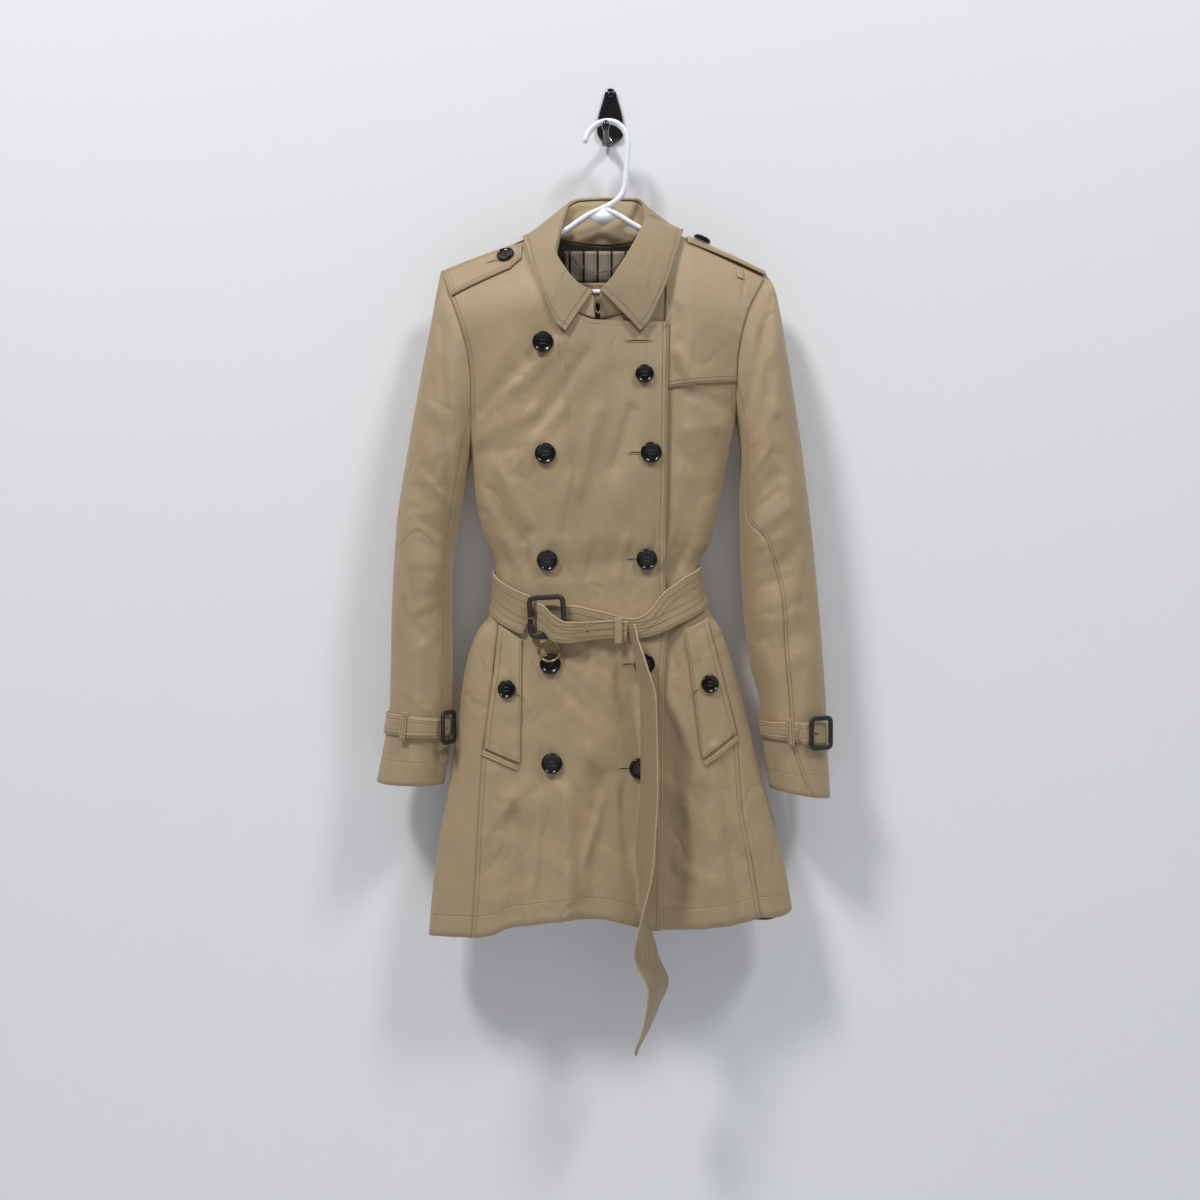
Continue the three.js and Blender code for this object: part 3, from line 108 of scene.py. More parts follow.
CHEST = (0, -0.05, -0.7)
area_light("ceiling_left", (-1.9, -2.1, 2.9), CHEST, (0.75, 0.75), 142, (1.0, 0.985, 0.955))
area_light("ceiling_right", (2.0, -2.1, 2.9), CHEST, (0.75, 0.75), 92, (0.97, 0.985, 1.0))
area_light("room", (0.2, -2.6, -0.9), (0, -0.05, -0.9), (2.4, 1.6), 5, (0.97, 0.98, 1.0))
area_light("rear", (0.6, 2.4, 0.8), (0, 0, -0.6), (2, 2), 30, (1, 1, 1))
world = bpy.data.worlds.new("soft_room")
world.use_nodes = True
sky = world.node_tree.nodes["Background"]
sky.inputs["Color"].default_value = (0.80, 0.84, 0.9, 1)
sky.inputs["Strength"].default_value = 0.20
scene.world = world
scene.view_settings.view_transform = "Standard"

# %% [markdown]
# ## Shader maths in plain words
# A finish is a small network of nodes. `Number` wraps one output socket, so that `1 - mask * 0.4` adds the Math
# nodes by itself, and `Look` holds one material and adds any other node with its settings and links. The nodes
# could be linked by hand in the shader editor, but an expression is easier to read. A finish is laid out either over
# the piece's own space, in metres, or over the flat cloth that it was cut from.

# %% Number and Look
class Number:
    """A value that varies over a surface."""

    def __init__(self, look, socket):
        self.look, self.socket = look, socket

    def __add__(self, other):
        return self.look.maths("ADD", self, other)

    def __sub__(self, other):
        return self.look.maths("SUBTRACT", self, other)

    def __rsub__(self, other):
        return self.look.maths("SUBTRACT", other, self)

    def __mul__(self, other):
        return self.look.maths("MULTIPLY", self, other)

    def __truediv__(self, other):
        return self.look.maths("DIVIDE", self, other)

    def __pow__(self, other):
        return self.look.maths("POWER", self, other)

    __radd__ = __add__
    __rmul__ = __mul__


class Look:
    """One material: its nodes, its main shader, and short ways to add to it."""

    def __init__(self, name, **constants):
        self.material = bpy.data.materials.new(name)
        self.material.use_nodes = True
        self.tree = self.material.node_tree
        self.shader = self.tree.nodes["Principled BSDF"]
        for socket, value in constants.items():
            self.shader.inputs[socket.replace("_", " ")].default_value = value

    def node(self, kind, settings=(), inputs=()):
        made = self.tree.nodes.new(kind)
        for key, value in dict(settings).items():
            if key == "stops":
                ramp = made.color_ramp
                for k, (at, colour) in enumerate(value):
                    stop = ramp.elements[k] if k < 2 else ramp.elements.new(at)
                    stop.position, stop.color = at, (*colour, 1)
            else:
                setattr(made, key, value)
        for key, value in dict(inputs).items():
            value = value.socket if isinstance(value, Number) else value
            if isinstance(value, bpy.types.NodeSocket):
                self.tree.links.new(value, made.inputs[key])
            else:
                made.inputs[key].default_value = value
        return made

    def own_space(self):
        return self.node("ShaderNodeTexCoord").outputs["Object"]

    def flat_cloth(self):
        return self.node("ShaderNodeUVMap", {"uv_map": "cloth"}).outputs[0]

    def parts(self, vector):
        """The parts of a vector, each a Number."""
        split = self.node("ShaderNodeSeparateXYZ", {}, {0: vector})
        return [Number(self, socket) for socket in split.outputs]

    def maths(self, operation, *values):
        made = self.node("ShaderNodeMath", {"operation": operation}, enumerate(values))
        return Number(self, made.outputs[0])

    def smooth(self, value, low, high):
        """0 where value is below low, 1 above high, eased between."""
        made = self.node("ShaderNodeMapRange", {"interpolation_type": "SMOOTHSTEP"},
                         {"Value": value, "From Min": low, "From Max": high})
        return Number(self, made.outputs["Result"])

    def noise(self, where, scale, detail=2.0, roughness=0.5):
        made = self.node("ShaderNodeTexNoise", {},
                         {"Vector": where, "Scale": scale, "Detail": detail, "Roughness": roughness})
        return Number(self, made.outputs["Fac"])

    def mix(self, factor, a, b):
        made = self.node("ShaderNodeMix", {"data_type": "RGBA"}, {0: factor, 6: a, 7: b})
        return made.outputs[2]

    def tint(self, colour, amount):
        """colour multiplied by a varying amount of grey."""
        grey = self.node("ShaderNodeCombineXYZ", {}, {0: amount, 1: amount, 2: amount})
        colour = colour if isinstance(colour, bpy.types.NodeSocket) else colour[:3]
        made = self.node("ShaderNodeVectorMath", {"operation": "MULTIPLY"}, {0: colour, 1: grey.outputs[0]})
        return made.outputs[0]

    def stretched(self, where, scale):
        made = self.node("ShaderNodeMapping", {}, {"Vector": where, "Scale": scale})
        return made.outputs[0]

    def bump(self, height, distance, strength=1.0):
        made = self.node("ShaderNodeBump", {}, {"Height": height, "Distance": distance, "Strength": strength})
        self.tree.links.new(made.outputs[0], self.shader.inputs["Normal"])

    def feed(self, **sockets):
        for name, value in sockets.items():
            value = value.socket if isinstance(value, Number) else value
            self.tree.links.new(value, self.shader.inputs[name.replace("_", " ")])
        return self.material


def linear(red, green, blue):
    """A colour picked on screen, 0 to 255, as the linear values that a shader takes."""
    done = [(c / 255 / 12.92) if c <= 10 else ((c / 255 + 0.055) / 1.055) ** 2.4 for c in (red, green, blue)]
    return (*done, 1)


# %% [markdown]
# ## Gabardine, and the thread that runs along its edges
# Gabardine is a tight twill: fine ribs lie on a steep diagonal, three in two millimetres. Every piece of cloth
# carries a UV map in metres of flat cloth, so the ribs follow the cut, and an `edges` attribute with the distance
# to each of its four edges. The finish reads those distances to press a row of stitches into the cloth: each row is
# a shallow valley, puckered where the needle went in, and darkened a little with painted shade. Faint slubs and wider
# mottling keep the colour alive. An image of cloth could do much of this, but waves and noise need no file and stay
# sharp when seen close.

# %% Gabardine finish
RIB_PITCH, VALLEY_WIDTH, LIGHT_RIM_WIDTH = 0.00062, 0.0010, 0.0016


def gabardine(name, colour, rows=(), rim_lightening=0.10):
    look = Look(name, Roughness=0.5, Specular_IOR_Level=0.5, Sheen_Weight=0.12, Sheen_Roughness=0.4)
    uv = look.flat_cloth()
    solid = look.own_space()
    across, down, _ = look.parts(uv)
    rib = look.maths("SINE", (across * 0.86 + down * 0.5) * (2 * math.pi / RIB_PITCH)) * 0.5 + 0.5
    yarn = look.noise(look.stretched(uv, (1900, 260, 1)), 1.0, 2)
    slub = look.noise(look.stretched(uv, (420, 60, 1)), 1.0, 3, 0.6)
    mottle = look.noise(solid, 26, 4, 0.55)
    broad = look.noise(solid, 7, 2)
    crumple = look.noise(look.stretched(solid, (30, 30, 17)), 1.0, 3, 0.55)
    brightness = 0.80 + rib * 0.07 + yarn * 0.10 + slub * 0.16 + (mottle - 0.5) * 0.16 + (broad - 0.5) * 0.10
    sharp = look.maths("ABSOLUTE", look.noise(look.stretched(solid, (26, 26, 19)), 1.0, 1.5, 0.45) - 0.5)
    pressed = look.smooth(sharp, 0.10, 0.0) * look.smooth(broad, 0.38, 0.66)
    height = rib * 0.10 + yarn * 0.08 + slub * 0.12 + crumple * 2.4 - pressed * 0.9
    if rows:
        edge = look.node("ShaderNodeAttribute", {"attribute_name": "edges"})
        sides = dict(zip(("first", "last", "top"), look.parts(edge.outputs["Color"])))
        sides["low"] = Number(look, edge.outputs["Alpha"])
        pucker = look.noise(look.stretched(uv, (170, 170, 1)), 1.0, 2)
        for side, inset in rows:
            off = look.maths("ABSOLUTE", sides[side] - inset * MM)
            valley = 1 - look.smooth(off, 0.0, VALLEY_WIDTH)
            height = height - valley * (0.35 + pucker * 0.4)
            # Painted shade: each row of stitches is darkened a little along its valley, where the groove lies in
            # shade.
            brightness = brightness - valley * 0.08
            # The colour is made lighter within a short distance of each stitched edge.
            rim = 1 - look.smooth(sides[side], 0.0, LIGHT_RIM_WIDTH)
            brightness = brightness + rim * rim_lightening
    warmer = tuple(c * s for c, s in zip(colour, (1.01, 1.0, 0.965, 1)))
    dye = look.mix(look.smooth(mottle, 0.35, 0.68), colour, warmer)
    look.bump(height, 0.0011, 0.9)
    return look.feed(Base_Color=look.tint(dye, brightness), Roughness=0.42 + slub * 0.16)


HONEY = linear(163, 142, 110)
BELT_HONEY = linear(153, 133, 101)
# Painted shade: the collar is given a darker copy of the coat's colour, so that it looks shaded.
SHADED_COLLAR_HONEY = linear(150, 130, 99)
plain_cloth = gabardine("gabardine_plain", HONEY)
print("gabardine nodes:", len(plain_cloth.node_tree.nodes))

# %% [markdown]
# ## Lining, buttons, buckles, wire, hanger plastic and enamel
# The lining is a dark, close twill with a low lustre. At the neck its patch is a plain tan ground with narrow woven
# stripes. The buttons are polished dark horn, the buckles are covered in smooth black leather, and the small fittings
# are dulled brass and steel. The hanger is moulded white plastic with faint scuffs, the wall hook thick black enamel.
# Images could dress them all, but the main shader with a little noise is enough for such plain materials.

# %% Lining finishes
def lining_look():
    look = Look("dark_lining", Roughness=0.55, Specular_IOR_Level=0.3)
    uv = look.flat_cloth()
    grain = look.noise(look.stretched(uv, (900, 120, 1)), 1.0, 2)
    folds = look.noise(look.stretched(uv, (16, 7, 1)), 1.0, 3)
    look.bump(grain * 0.3 + folds * 2.0, 0.0012, 0.7)
    return look.feed(Base_Color=look.tint(linear(58, 51, 43), 0.75 + grain * 0.4 + folds * 0.2))


def neck_stripe_look():
    look = Look("striped_neck_lining", Roughness=0.7, Specular_IOR_Level=0.25)
    uv = look.flat_cloth()
    across, down, _ = look.parts(uv)
    bone_pitch, stripe_pitch = 0.0016, 0.009
    zigzag = look.maths("PINGPONG", down, bone_pitch)
    bone = look.maths("SINE", (across + zigzag) * (2 * math.pi / bone_pitch)) * 0.5 + 0.5
    wide = look.smooth(look.maths("PINGPONG", across, stripe_pitch), 0.0072, 0.0076)
    thin = look.smooth(look.maths("PINGPONG", across + stripe_pitch / 2, stripe_pitch), 0.0084, 0.0087)
    ground = look.mix(bone, linear(178, 168, 148), linear(150, 140, 120))
    dark = look.mix(wide, ground, linear(44, 40, 40))
    both = look.mix(thin * 0.8, dark, linear(120, 62, 50))
    look.bump(bone * 0.3 + wide * 0.2, 0.0004)
    return look.feed(Base_Color=both)


dark_lining = lining_look()
neck_stripe = neck_stripe_look()


# %% Hard finishes
def horn_look():
    look = Look("polished_horn", Roughness=0.2, Specular_IOR_Level=0.35, Coat_Weight=0.2, Coat_Roughness=0.08)
    solid = look.own_space()
    cloud = look.noise(solid, 130, 4, 0.6)
    fleck = look.noise(look.stretched(solid, (900, 900, 250)), 1.0, 2)
    base = look.mix(look.smooth(cloud, 0.4, 0.75), linear(5, 4, 4), linear(22, 17, 14))
    look.bump(fleck * 0.2 + cloud * 0.3, 0.0002, 0.4)
    return look.feed(Base_Color=base, Roughness=0.12 + fleck * 0.16)


def leather_look():
    look = Look("black_leather", Roughness=0.3, Specular_IOR_Level=0.5, Coat_Weight=0.25, Coat_Roughness=0.2)
    solid = look.own_space()
    cells = look.node("ShaderNodeTexVoronoi", {"feature": "DISTANCE_TO_EDGE"}, {"Vector": solid, "Scale": 1100})
    grain = look.smooth(Number(look, cells.outputs["Distance"]), 0.0, 0.14)
    worn = look.noise(solid, 160, 3)
    base = look.mix(look.smooth(worn, 0.5, 0.8), linear(17, 14, 13), linear(44, 36, 31))
    look.bump(grain * 0.6 + worn * 0.5, 0.0003, 0.6)
    return look.feed(Base_Color=base, Roughness=0.24 + worn * 0.25)


def metal_look(name, bright, dull, rough):
    look = Look(name, Metallic=1.0, Roughness=rough)
    solid = look.own_space()
    tarnish = look.noise(solid, 220, 4, 0.6)
    scratch = look.noise(look.stretched(solid, (2500, 2500, 300)), 1.0, 2)
    look.bump(scratch * 0.3, 0.0002, 0.4)
    return look.feed(Base_Color=look.mix(look.smooth(tarnish, 0.35, 0.7), bright, dull),
                     Roughness=rough + tarnish * 0.2)


def hanger_look():
    look = Look("white_moulded_plastic", Roughness=0.32, Specular_IOR_Level=0.5)
    solid = look.own_space()
    scuff = look.noise(solid, 90, 4, 0.6)
    ripple = look.noise(solid, 380, 2)
    look.bump(ripple * 0.25 + scuff * 0.2, 0.0003, 0.4)
    base = look.mix(look.smooth(scuff, 0.55, 0.8), linear(231, 234, 238), linear(206, 208, 208))
    return look.feed(Base_Color=base, Roughness=0.28 + scuff * 0.2)


def enamel_look():
    look = Look("black_enamel", Roughness=0.12, Specular_IOR_Level=0.6, Coat_Weight=0.6, Coat_Roughness=0.05)
    solid = look.own_space()
    dips = look.noise(solid, 60, 3)
    dust = look.noise(solid, 900, 2)
    look.bump(dips * 1.2 + dust * 0.06, 0.0006, 0.5)
    return look.feed(Base_Color=look.mix(look.smooth(dips, 0.3, 0.8), linear(7, 7, 8), linear(16, 15, 15)),
                     Roughness=0.09 + dust * 0.12)


def thread_look(name, colour):
    look = Look(name, Roughness=0.7, Sheen_Weight=0.2)
    solid = look.own_space()
    twist = look.noise(look.stretched(solid, (2600, 2600, 900)), 1.0, 2)
    look.bump(twist, 0.0002, 0.6)
    return look.feed(Base_Color=look.tint(colour, 0.75 + twist * 0.5))


def wall_look():
    look = Look("pale_wall", Roughness=0.9, Specular_IOR_Level=0.2)
    solid = look.own_space()
    roller = look.noise(solid, 160, 4, 0.6)
    broad = look.noise(solid, 1.1, 2)
    look.bump(roller, 0.0006, 0.25)
    look.feed(Base_Color=look.tint(linear(224, 225, 228), 0.97 + roller * 0.02 + broad * 0.03))
    see_through = look.node("ShaderNodeBsdfTransparent")
    behind = look.node("ShaderNodeNewGeometry").outputs["Backfacing"]
    chosen = look.node("ShaderNodeMixShader", {}, {0: behind, 1: look.shader.outputs[0], 2: see_through.outputs[0]})
    output = look.tree.nodes["Material Output"]
    look.tree.links.new(chosen.outputs[0], output.inputs["Surface"])
    return look.material


horn, leather = horn_look(), leather_look()
brass = metal_look("dull_brass", linear(168, 146, 98), linear(104, 84, 52), 0.30)
steel = metal_look("dark_steel", linear(148, 142, 132), linear(84, 78, 70), 0.34)
plastic, enamel = hanger_look(), enamel_look()
honey_thread = thread_look("honey_thread", linear(152, 131, 99))
# Dark thread for the buttons; the same dark colour is also the painted shade inside the buttonhole slits and eyelets.
dark_thread_and_hole_shade = thread_look("dark_thread_and_hole_shade", linear(48, 40, 34))


# %% Wall and floor
def stage_plane(name, corners, look):
    mesh = bpy.data.meshes.new(name)
    mesh.from_pydata(corners, [], [(0, 1, 2, 3)])
    mesh.materials.append(look)
    plane = keep(bpy.data.objects.new(name, mesh))
    plane.visible_shadow = name != "wall"
    plane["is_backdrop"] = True


wall = wall_look()
HALF_WIDTH, WALL_Y, FLOOR_Z, CEILING_Z, ROOM_Y = 3.5, 0.0006, -2.1, 2.2, -4
floor_line = [(-HALF_WIDTH, WALL_Y, FLOOR_Z), (HALF_WIDTH, WALL_Y, FLOOR_Z)]
stage_plane("wall", [*floor_line, (HALF_WIDTH, WALL_Y, CEILING_Z), (-HALF_WIDTH, WALL_Y, CEILING_Z)], wall)
stage_plane("floor", [(-HALF_WIDTH, ROOM_Y, FLOOR_Z), (HALF_WIDTH, ROOM_Y, FLOOR_Z), *floor_line[::-1]], wall)

# %% [markdown]
# ## Section tables
# A coat's shape is a run of cross-sections. Each table has a few rows with named columns in millimetres, and
# `Table` reads a column smoothly between rows, without the overshoot that a plain spline would give. A coat could be
# sculpted instead, but these numbers are the ones that the solids were built from, so the dressed cloth lies on its
# solid everywhere.

# %% Table, and small tools for arrays
class Table:
    """Named columns over a key column, read by monotone cubic interpolation."""

    def __init__(self, names, rows):
        rows = np.array(rows, float)
        rows = rows[::-1] if rows[0, 0] > rows[1, 0] else rows
        self.rows, self.key = rows, rows[:, 0]
        for name, column in zip(names.split()[1:], rows.T[1:]):
            setattr(self, name, self.reader(column))

    def reader(self, values):
        step = np.diff(self.key)
        rise = np.diff(values) / step
        slope = np.empty_like(values)
        slope[0], slope[-1] = rise[0], rise[-1]
        level = rise[:-1] * rise[1:] <= 0
        slope[1:-1] = np.where(level, 0, 2 * rise[:-1] * rise[1:] / np.where(level, 1, rise[:-1] + rise[1:]))

        def read(at):
            at = np.clip(at, self.key[0], self.key[-1])
            i = np.clip(np.searchsorted(self.key, at, side="right") - 1, 0, len(step) - 1)
            t = (at - self.key[i]) / step[i]
            ends = values[i] * (2 * t**3 - 3 * t**2 + 1) + values[i + 1] * (3 * t**2 - 2 * t**3)
            return ends + step[i] * (slope[i] * (t**3 - 2 * t**2 + t) + slope[i + 1] * (t**3 - t**2))

        return read


def lerp(a, b, t):
    return a + (b - a) * t


def smooth(x, low, high):
    t = np.clip((x - low) / (high - low), 0, 1)
    return t * t * (3 - 2 * t)


def finer(values, times):
    """Each step of a list split into several equal ones."""
    values = np.asarray(values, float)
    return np.interp(np.arange((len(values) - 1) * times + 1) / times, np.arange(len(values)), values)


# %% The body's sections, shoulder ridge and openings, in millimetres
BODY = Table("z left right front back", [
    [-150, -232, 214, -98, -16], [-214, -232, 214, -100, -14], [-260, -226, 206, -102, -12],
    [-330, -207, 182, -104, -10], [-408, -188, 159, -104, -11], [-455, -177, 148, -104, -12],
    [-510, -171, 138, -102, -14], [-560, -159, 126, -98, -17], [-592, -146, 111, -95, -20],
    [-625, -147, 115, -94, -20], [-650, -152, 125, -95, -18], [-674, -169, 140, -97, -15],
    [-706, -181, 151, -99, -12], [-742, -188, 161, -101, -10], [-786, -193, 172, -103, -9],
    [-849, -202, 188, -104, -9], [-927, -216, 210, -105, -9], [-1004, -226, 226, -106, -9],
    [-1062, -231, 234, -107, -9]])
RIDGE = Table("x z", [
    [-235, -222], [-217, -214], [-204, -208.5], [-150, -189], [-108, -175], [-80, -164], [-40, -150],
    [20, -150], [66, -161], [91, -170], [145, -193], [199, -219], [216, -228]])
ARMHOLE = {
    "left": Table("s x z", [[0, -217, -214], [0.18, -202, -255], [0.35, -187, -296], [0.5, -178, -332],
                            [0.65, -175, -366], [0.82, -175, -410], [1, -177, -455]]),
    "right": Table("s x z", [[0, 199, -219], [0.16, 186, -242], [0.33, 170, -274], [0.5, 160, -310],
                             [0.66, 156, -343], [0.82, 156, -375], [1, 159, -408]])}
SIDE_SEAM = {
    "left": Table("z x", [[-455, -177], [-510, -170.5], [-560, -158], [-592, -144.5], [-656, -141],
                          [-722, -146], [-785, -151], [-826, -160], [-955, -167], [-1060, -173]]),
    "right": Table("z x", [[-408, 159], [-455, 147.5], [-510, 137], [-560, 124], [-592, 109], [-647, 118],
                           [-704, 134], [-774, 151], [-809, 158], [-893, 163], [-953, 174], [-1040, 188]])}
LAP_EDGE = Table("z x", [[-290, 71], [-450, 69], [-601, 67], [-665, 70], [-738, 65], [-841, 64], [-1043, 62]])
FRONT_HEM = Table("x z", [
    [-175, -1053], [-146, -1048], [-130, -1041], [-104, -1036], [-69, -1031], [-43, -1028], [-14, -1029],
    [27, -1036], [50, -1042], [64, -1042], [104, -1040], [150, -1038], [190, -1028]])
BACK_HEM = Table("w z", [
    [-0.7, -1054], [-1, -1057], [-1.5, -1056], [-2, -1050], [-2.6, -1048], [-3, -1024], [-3.3, -1030]])
ridge_row = lambda u, x: [u, x, float(RIDGE.z(x))]
TOP = {
    "left": Table("u x z", [[0, 71, -290], [0.16, 28, -290], [0.33, -20, -288], [0.39, -42, -280],
                            [0.45, -64, -252], [0.5, -75, -212], ridge_row(0.55, -80), ridge_row(0.7, -122),
                            ridge_row(0.85, -170), ridge_row(1, -217)]),
    "right": Table("u x z", [[0, -32, -290], [0.09, -14, -288], [0.17, 12, -281], [0.25, 38, -254],
                             [0.33, 56, -212], ridge_row(0.41, 66), ridge_row(0.6, 107), ridge_row(0.8, 152),
                             ridge_row(1, 199)]),
    "back": Table("u x z", [ridge_row(0, -217), ridge_row(0.15, -150), ridge_row(0.3, -80), [0.35, -70, -170],
                            [0.42, -46, -175], [0.5, -7, -178], [0.58, 32, -174], [0.65, 56, -168],
                            ridge_row(0.7, 66), ridge_row(0.85, 132), ridge_row(1, 199)])}
LEVELS = [-455, -490, -525, -560, -578, -592, -608, -625, -650, -674,
          -706, -742, -786, -828, -870, -912, -955, -1004, -1052]
RIDGE_Y, SHOULDER_FALL, SHOULDER_ROUND, SQUARENESS, ARM_ROWS = -44, 110, 0.8, 2.6, 8
LAP_DROP, UNDER_EDGE_X = 5.6, -32
ROW_COUNT = ARM_ROWS + len(LEVELS) - 1
ARMPIT = ARM_ROWS / ROW_COUNT
print("rows of a panel's table:", ROW_COUNT, "| chest width at the armpits:",
      float(BODY.right(-430) - BODY.left(-430)), "mm")

# %% [markdown]
# ## Creases
# Hung cloth isn't a smooth tube. Each crease is a soft ridge or trough along a line, with a width and a height. The
# large ones are the solids' own, and the finer ones are listed here: gathers that fan out above and below
# the belt, the drag of the lap over its under-edge, slack at the armholes, and long flutes in the skirt. A slow
# ripple, mostly tenths of a millimetre high, takes away the last of the stiffness. A cloth simulation folds well too,
# but it can't be told where each crease should lie.

# %% Crease tables: x0, z0, x1, z1, width, height
FRONT_CREASES = [
    (-82, -262, -146, -350, 20, 3), (-66, -598, 18, -584, 15, -2.5), (-104, -480, -108, -600, 10, -2.5),
    (-124, -486, -118, -600, 10, 2.5), (-142, -500, -128, -596, 9, -2.5), (104, -500, 87, -596, 12, -4),
    (84, -480, 72, -580, 12, 2), (-100, -700, -94, -808, 15, 4), (-72, -725, -36, -826, 18, 3),
    (0, -700, 34, -790, 22, -2.5), (70, -862, 128, -920, 16, 4), (76, -850, 118, -880, 12, -3),
    (78, -1030, 126, -990, 16, 3), (-142, -914, -100, -918, 16, -3), (-96, -1030, -84, -900, 26, 3),
    (-30, -1036, -30, -780, 9, 1)]
FINE_FRONT = [
    (-150, -560, -128, -590, 5, -1.6), (-133, -556, -118, -592, 4, 1.4), (-112, -548, -104, -594, 4, -1.4),
    (-98, -560, -92, -596, 4, 1.2), (-60, -560, -48, -598, 6, 1.0), (-20, -566, -28, -604, 6, -1.0),
    (20, -560, 8, -606, 6, 1.0), (58, -556, 44, -600, 5, -1.2), (78, -548, 62, -592, 4, 1.4),
    (98, -560, 82, -592, 4, -1.4), (112, -566, 96, -590, 4, 1.2), (-140, -690, -126, -662, 5, 1.2),
    (-60, -702, -66, -690, 6, -1.0), (-18, -736, -26, -694, 7, 1.4), (12, -742, 6, -696, 6, -1.2),
    (44, -730, 34, -690, 6, 1.3), (80, -720, 66, -680, 6, -1.3), (104, -706, 92, -668, 5, 1.2),
    (-164, -400, -120, -352, 7, -1.8), (-168, -436, -96, -402, 9, 1.4), (-170, -452, -120, -448, 7, -1.4),
    (148, -396, 100, -380, 8, -1.6), (150, -420, 92, -424, 9, 1.4), (140, -452, 96, -470, 8, -1.2),
    (-100, -300, -70, -420, 22, -1.6), (-40, -330, -50, -440, 20, 1.4), (10, -360, 0, -470, 22, -1.4),
    (30, -470, -20, -560, 20, 1.2), (-120, -640, -60, -980, 14, -1.2), (24, -800, 60, -1000, 18, 1.4),
    (-10, -850, 6, -1020, 16, -1.2), (-60, -860, -52, -1010, 14, 1.2), (96, -900, 108, -1030, 14, -1.4),
    (-124, -880, -132, -1040, 14, 1.6), (128, -860, 146, -1020, 14, 1.6), (-150, -860, -156, -1030, 10, -1.2),
    (-70, -960, -20, -990, 12, 1.2), (0, -930, 60, -950, 12, -1.0), (-120, -790, -70, -770, 9, -1.0),
    (-58, -706, 8, -770, 4, 1.6), (-40, -700, 20, -734, 4, -1.5), (-62, -738, -8, -800, 4, -1.6),
    (-50, -768, 14, -812, 5, 1.5), (-28, -820, 8, -880, 5, 1.8), (-64, -850, -20, -900, 6, -1.6),
    (-10, -884, -34, -960, 5, 1.8), (14, -868, 20, -960, 6, -1.8), (72, -760, 116, -858, 6, 2.0),
    (96, -870, 150, -940, 6, -2.0), (80, -960, 128, -986, 6, 2.2), (70, -1000, 120, -1010, 5, -1.8),
    (130, -820, 168, -940, 8, 2.4), (-160, -930, -122, -880, 7, 2.2), (-168, -980, -128, -950, 6, -1.8),
    (-150, -1010, -96, -990, 7, 1.8), (-104, -860, -112, -960, 6, 1.8), (-78, -900, -86, -1000, 6, -1.8),
    (-64, -318, -118, -372, 9, 2.2), (-30, -330, -92, -420, 8, -1.8), (-60, -400, -120, -470, 8, 1.6),
    (-16, -400, -40, -500, 8, 1.6), (26, -400, 4, -470, 7, -1.6), (-140, -470, -100, -540, 6, 1.8),
    (-150, -500, -112, -560, 5, -1.8), (-52, -480, -72, -560, 6, 1.6), (84, -330, 128, -420, 8, 2.0),
    (90, -450, 124, -500, 6, -1.8), (80, -520, 106, -570, 5, 1.8), (96, -600, 78, -560, 5, -1.6),
    (-152, -850, -162, -1045, 14, 3.2), (-118, -900, -122, -1045, 12, -3.2), (98, -860, 110, -1035, 13, 3.4),
    (140, -850, 160, -1035, 12, -3.2), (-10, -860, -20, -1030, 20, -3), (-52, -870, -56, -1030, 13, 2.6)]
BACK_CREASES = [
    (-100, -470, -84, -590, 16, 3), (64, -480, 52, -590, 16, 3), (-92, -690, -128, -1040, 26, 4),
    (-10, -700, -14, -1040, 22, -3), (84, -690, 124, -1030, 26, 4)]
FINE_BACK = [
    (-130, -540, -110, -590, 5, -1.5), (-60, -540, -54, -594, 6, 1.4), (-30, -530, -26, -592, 6, -1.4),
    (0, -540, 0, -594, 5, 1.3), (24, -536, 20, -592, 6, -1.3), (84, -540, 74, -590, 5, 1.4),
    (-110, -720, -98, -660, 7, 1.4), (-66, -716, -60, -656, 7, -1.4), (-20, -724, -20, -660, 7, 1.4),
    (30, -720, 26, -660, 7, -1.3), (74, -716, 64, -656, 7, 1.3), (-60, -760, -76, -1040, 16, -1.8),
    (40, -760, 52, -1040, 18, 1.8), (90, -800, 104, -1036, 14, -1.6), (-130, -800, -150, -1040, 14, 1.6),
    (-100, -250, -60, -420, 24, 1.6), (60, -250, 36, -420, 24, -1.6), (0, -260, -10, -460, 24, 1.4)]


def relief(creases, x, z):
    total = np.zeros(np.broadcast(x, z).shape)
    for x0, z0, x1, z1, width, height in creases:
        dx, dz = x1 - x0, z1 - z0
        t = np.clip(((x - x0) * dx + (z - z0) * dz) / (dx * dx + dz * dz), 0, 1)
        total += height * np.exp(-((x - x0 - t * dx) ** 2 + (z - z0 - t * dz) ** 2) / width**2)
    return total


def ripple(a, b, seed=0.0):
    """A slow, uneven wave over a surface, mostly less than half a millimetre high."""
    waves = [(0.071, 0.019, 0.9, 0.32), (-0.038, 0.047, 2.1, 0.30), (0.021, -0.083, 4.4, 0.22),
             (0.113, 0.052, 1.7, 0.12), (-0.094, 0.106, 5.2, 0.10)]
    return sum(h * np.sin(p * a + q * b + phase + seed) for p, q, phase, h in waves)


# %% [markdown]
# ## The body's surface
# `w` counts quarter turns round the body: 0 is the front middle, -1 the left side, -2 the back middle. Each
# cross-section is a rounded rectangle, and near the shoulders it flattens until both faces meet on the ridge that
# lies over the hanger. The right-hand front lies a few millimetres lower where the other front laps over it. The
# fine creases are left out where a piece has to run smoothly, and are weaker under the belt, which presses them flat.
# A sculpted body could look as good, but the flaps, the epaulettes and the belt are placed by the same function
# as the cloth below them, so none of them floats or sinks in.

# %% Body surface
BELT_Z, BELT_REACH = -650, 30
FINE_OPEN, FINE_UNDER_BELT, FINE_BEHIND = 2.1, 0.9, 1.3


def middle_and_half(z):
    return (BODY.left(z) + BODY.right(z)) / 2, (BODY.right(z) - BODY.left(z)) / 2


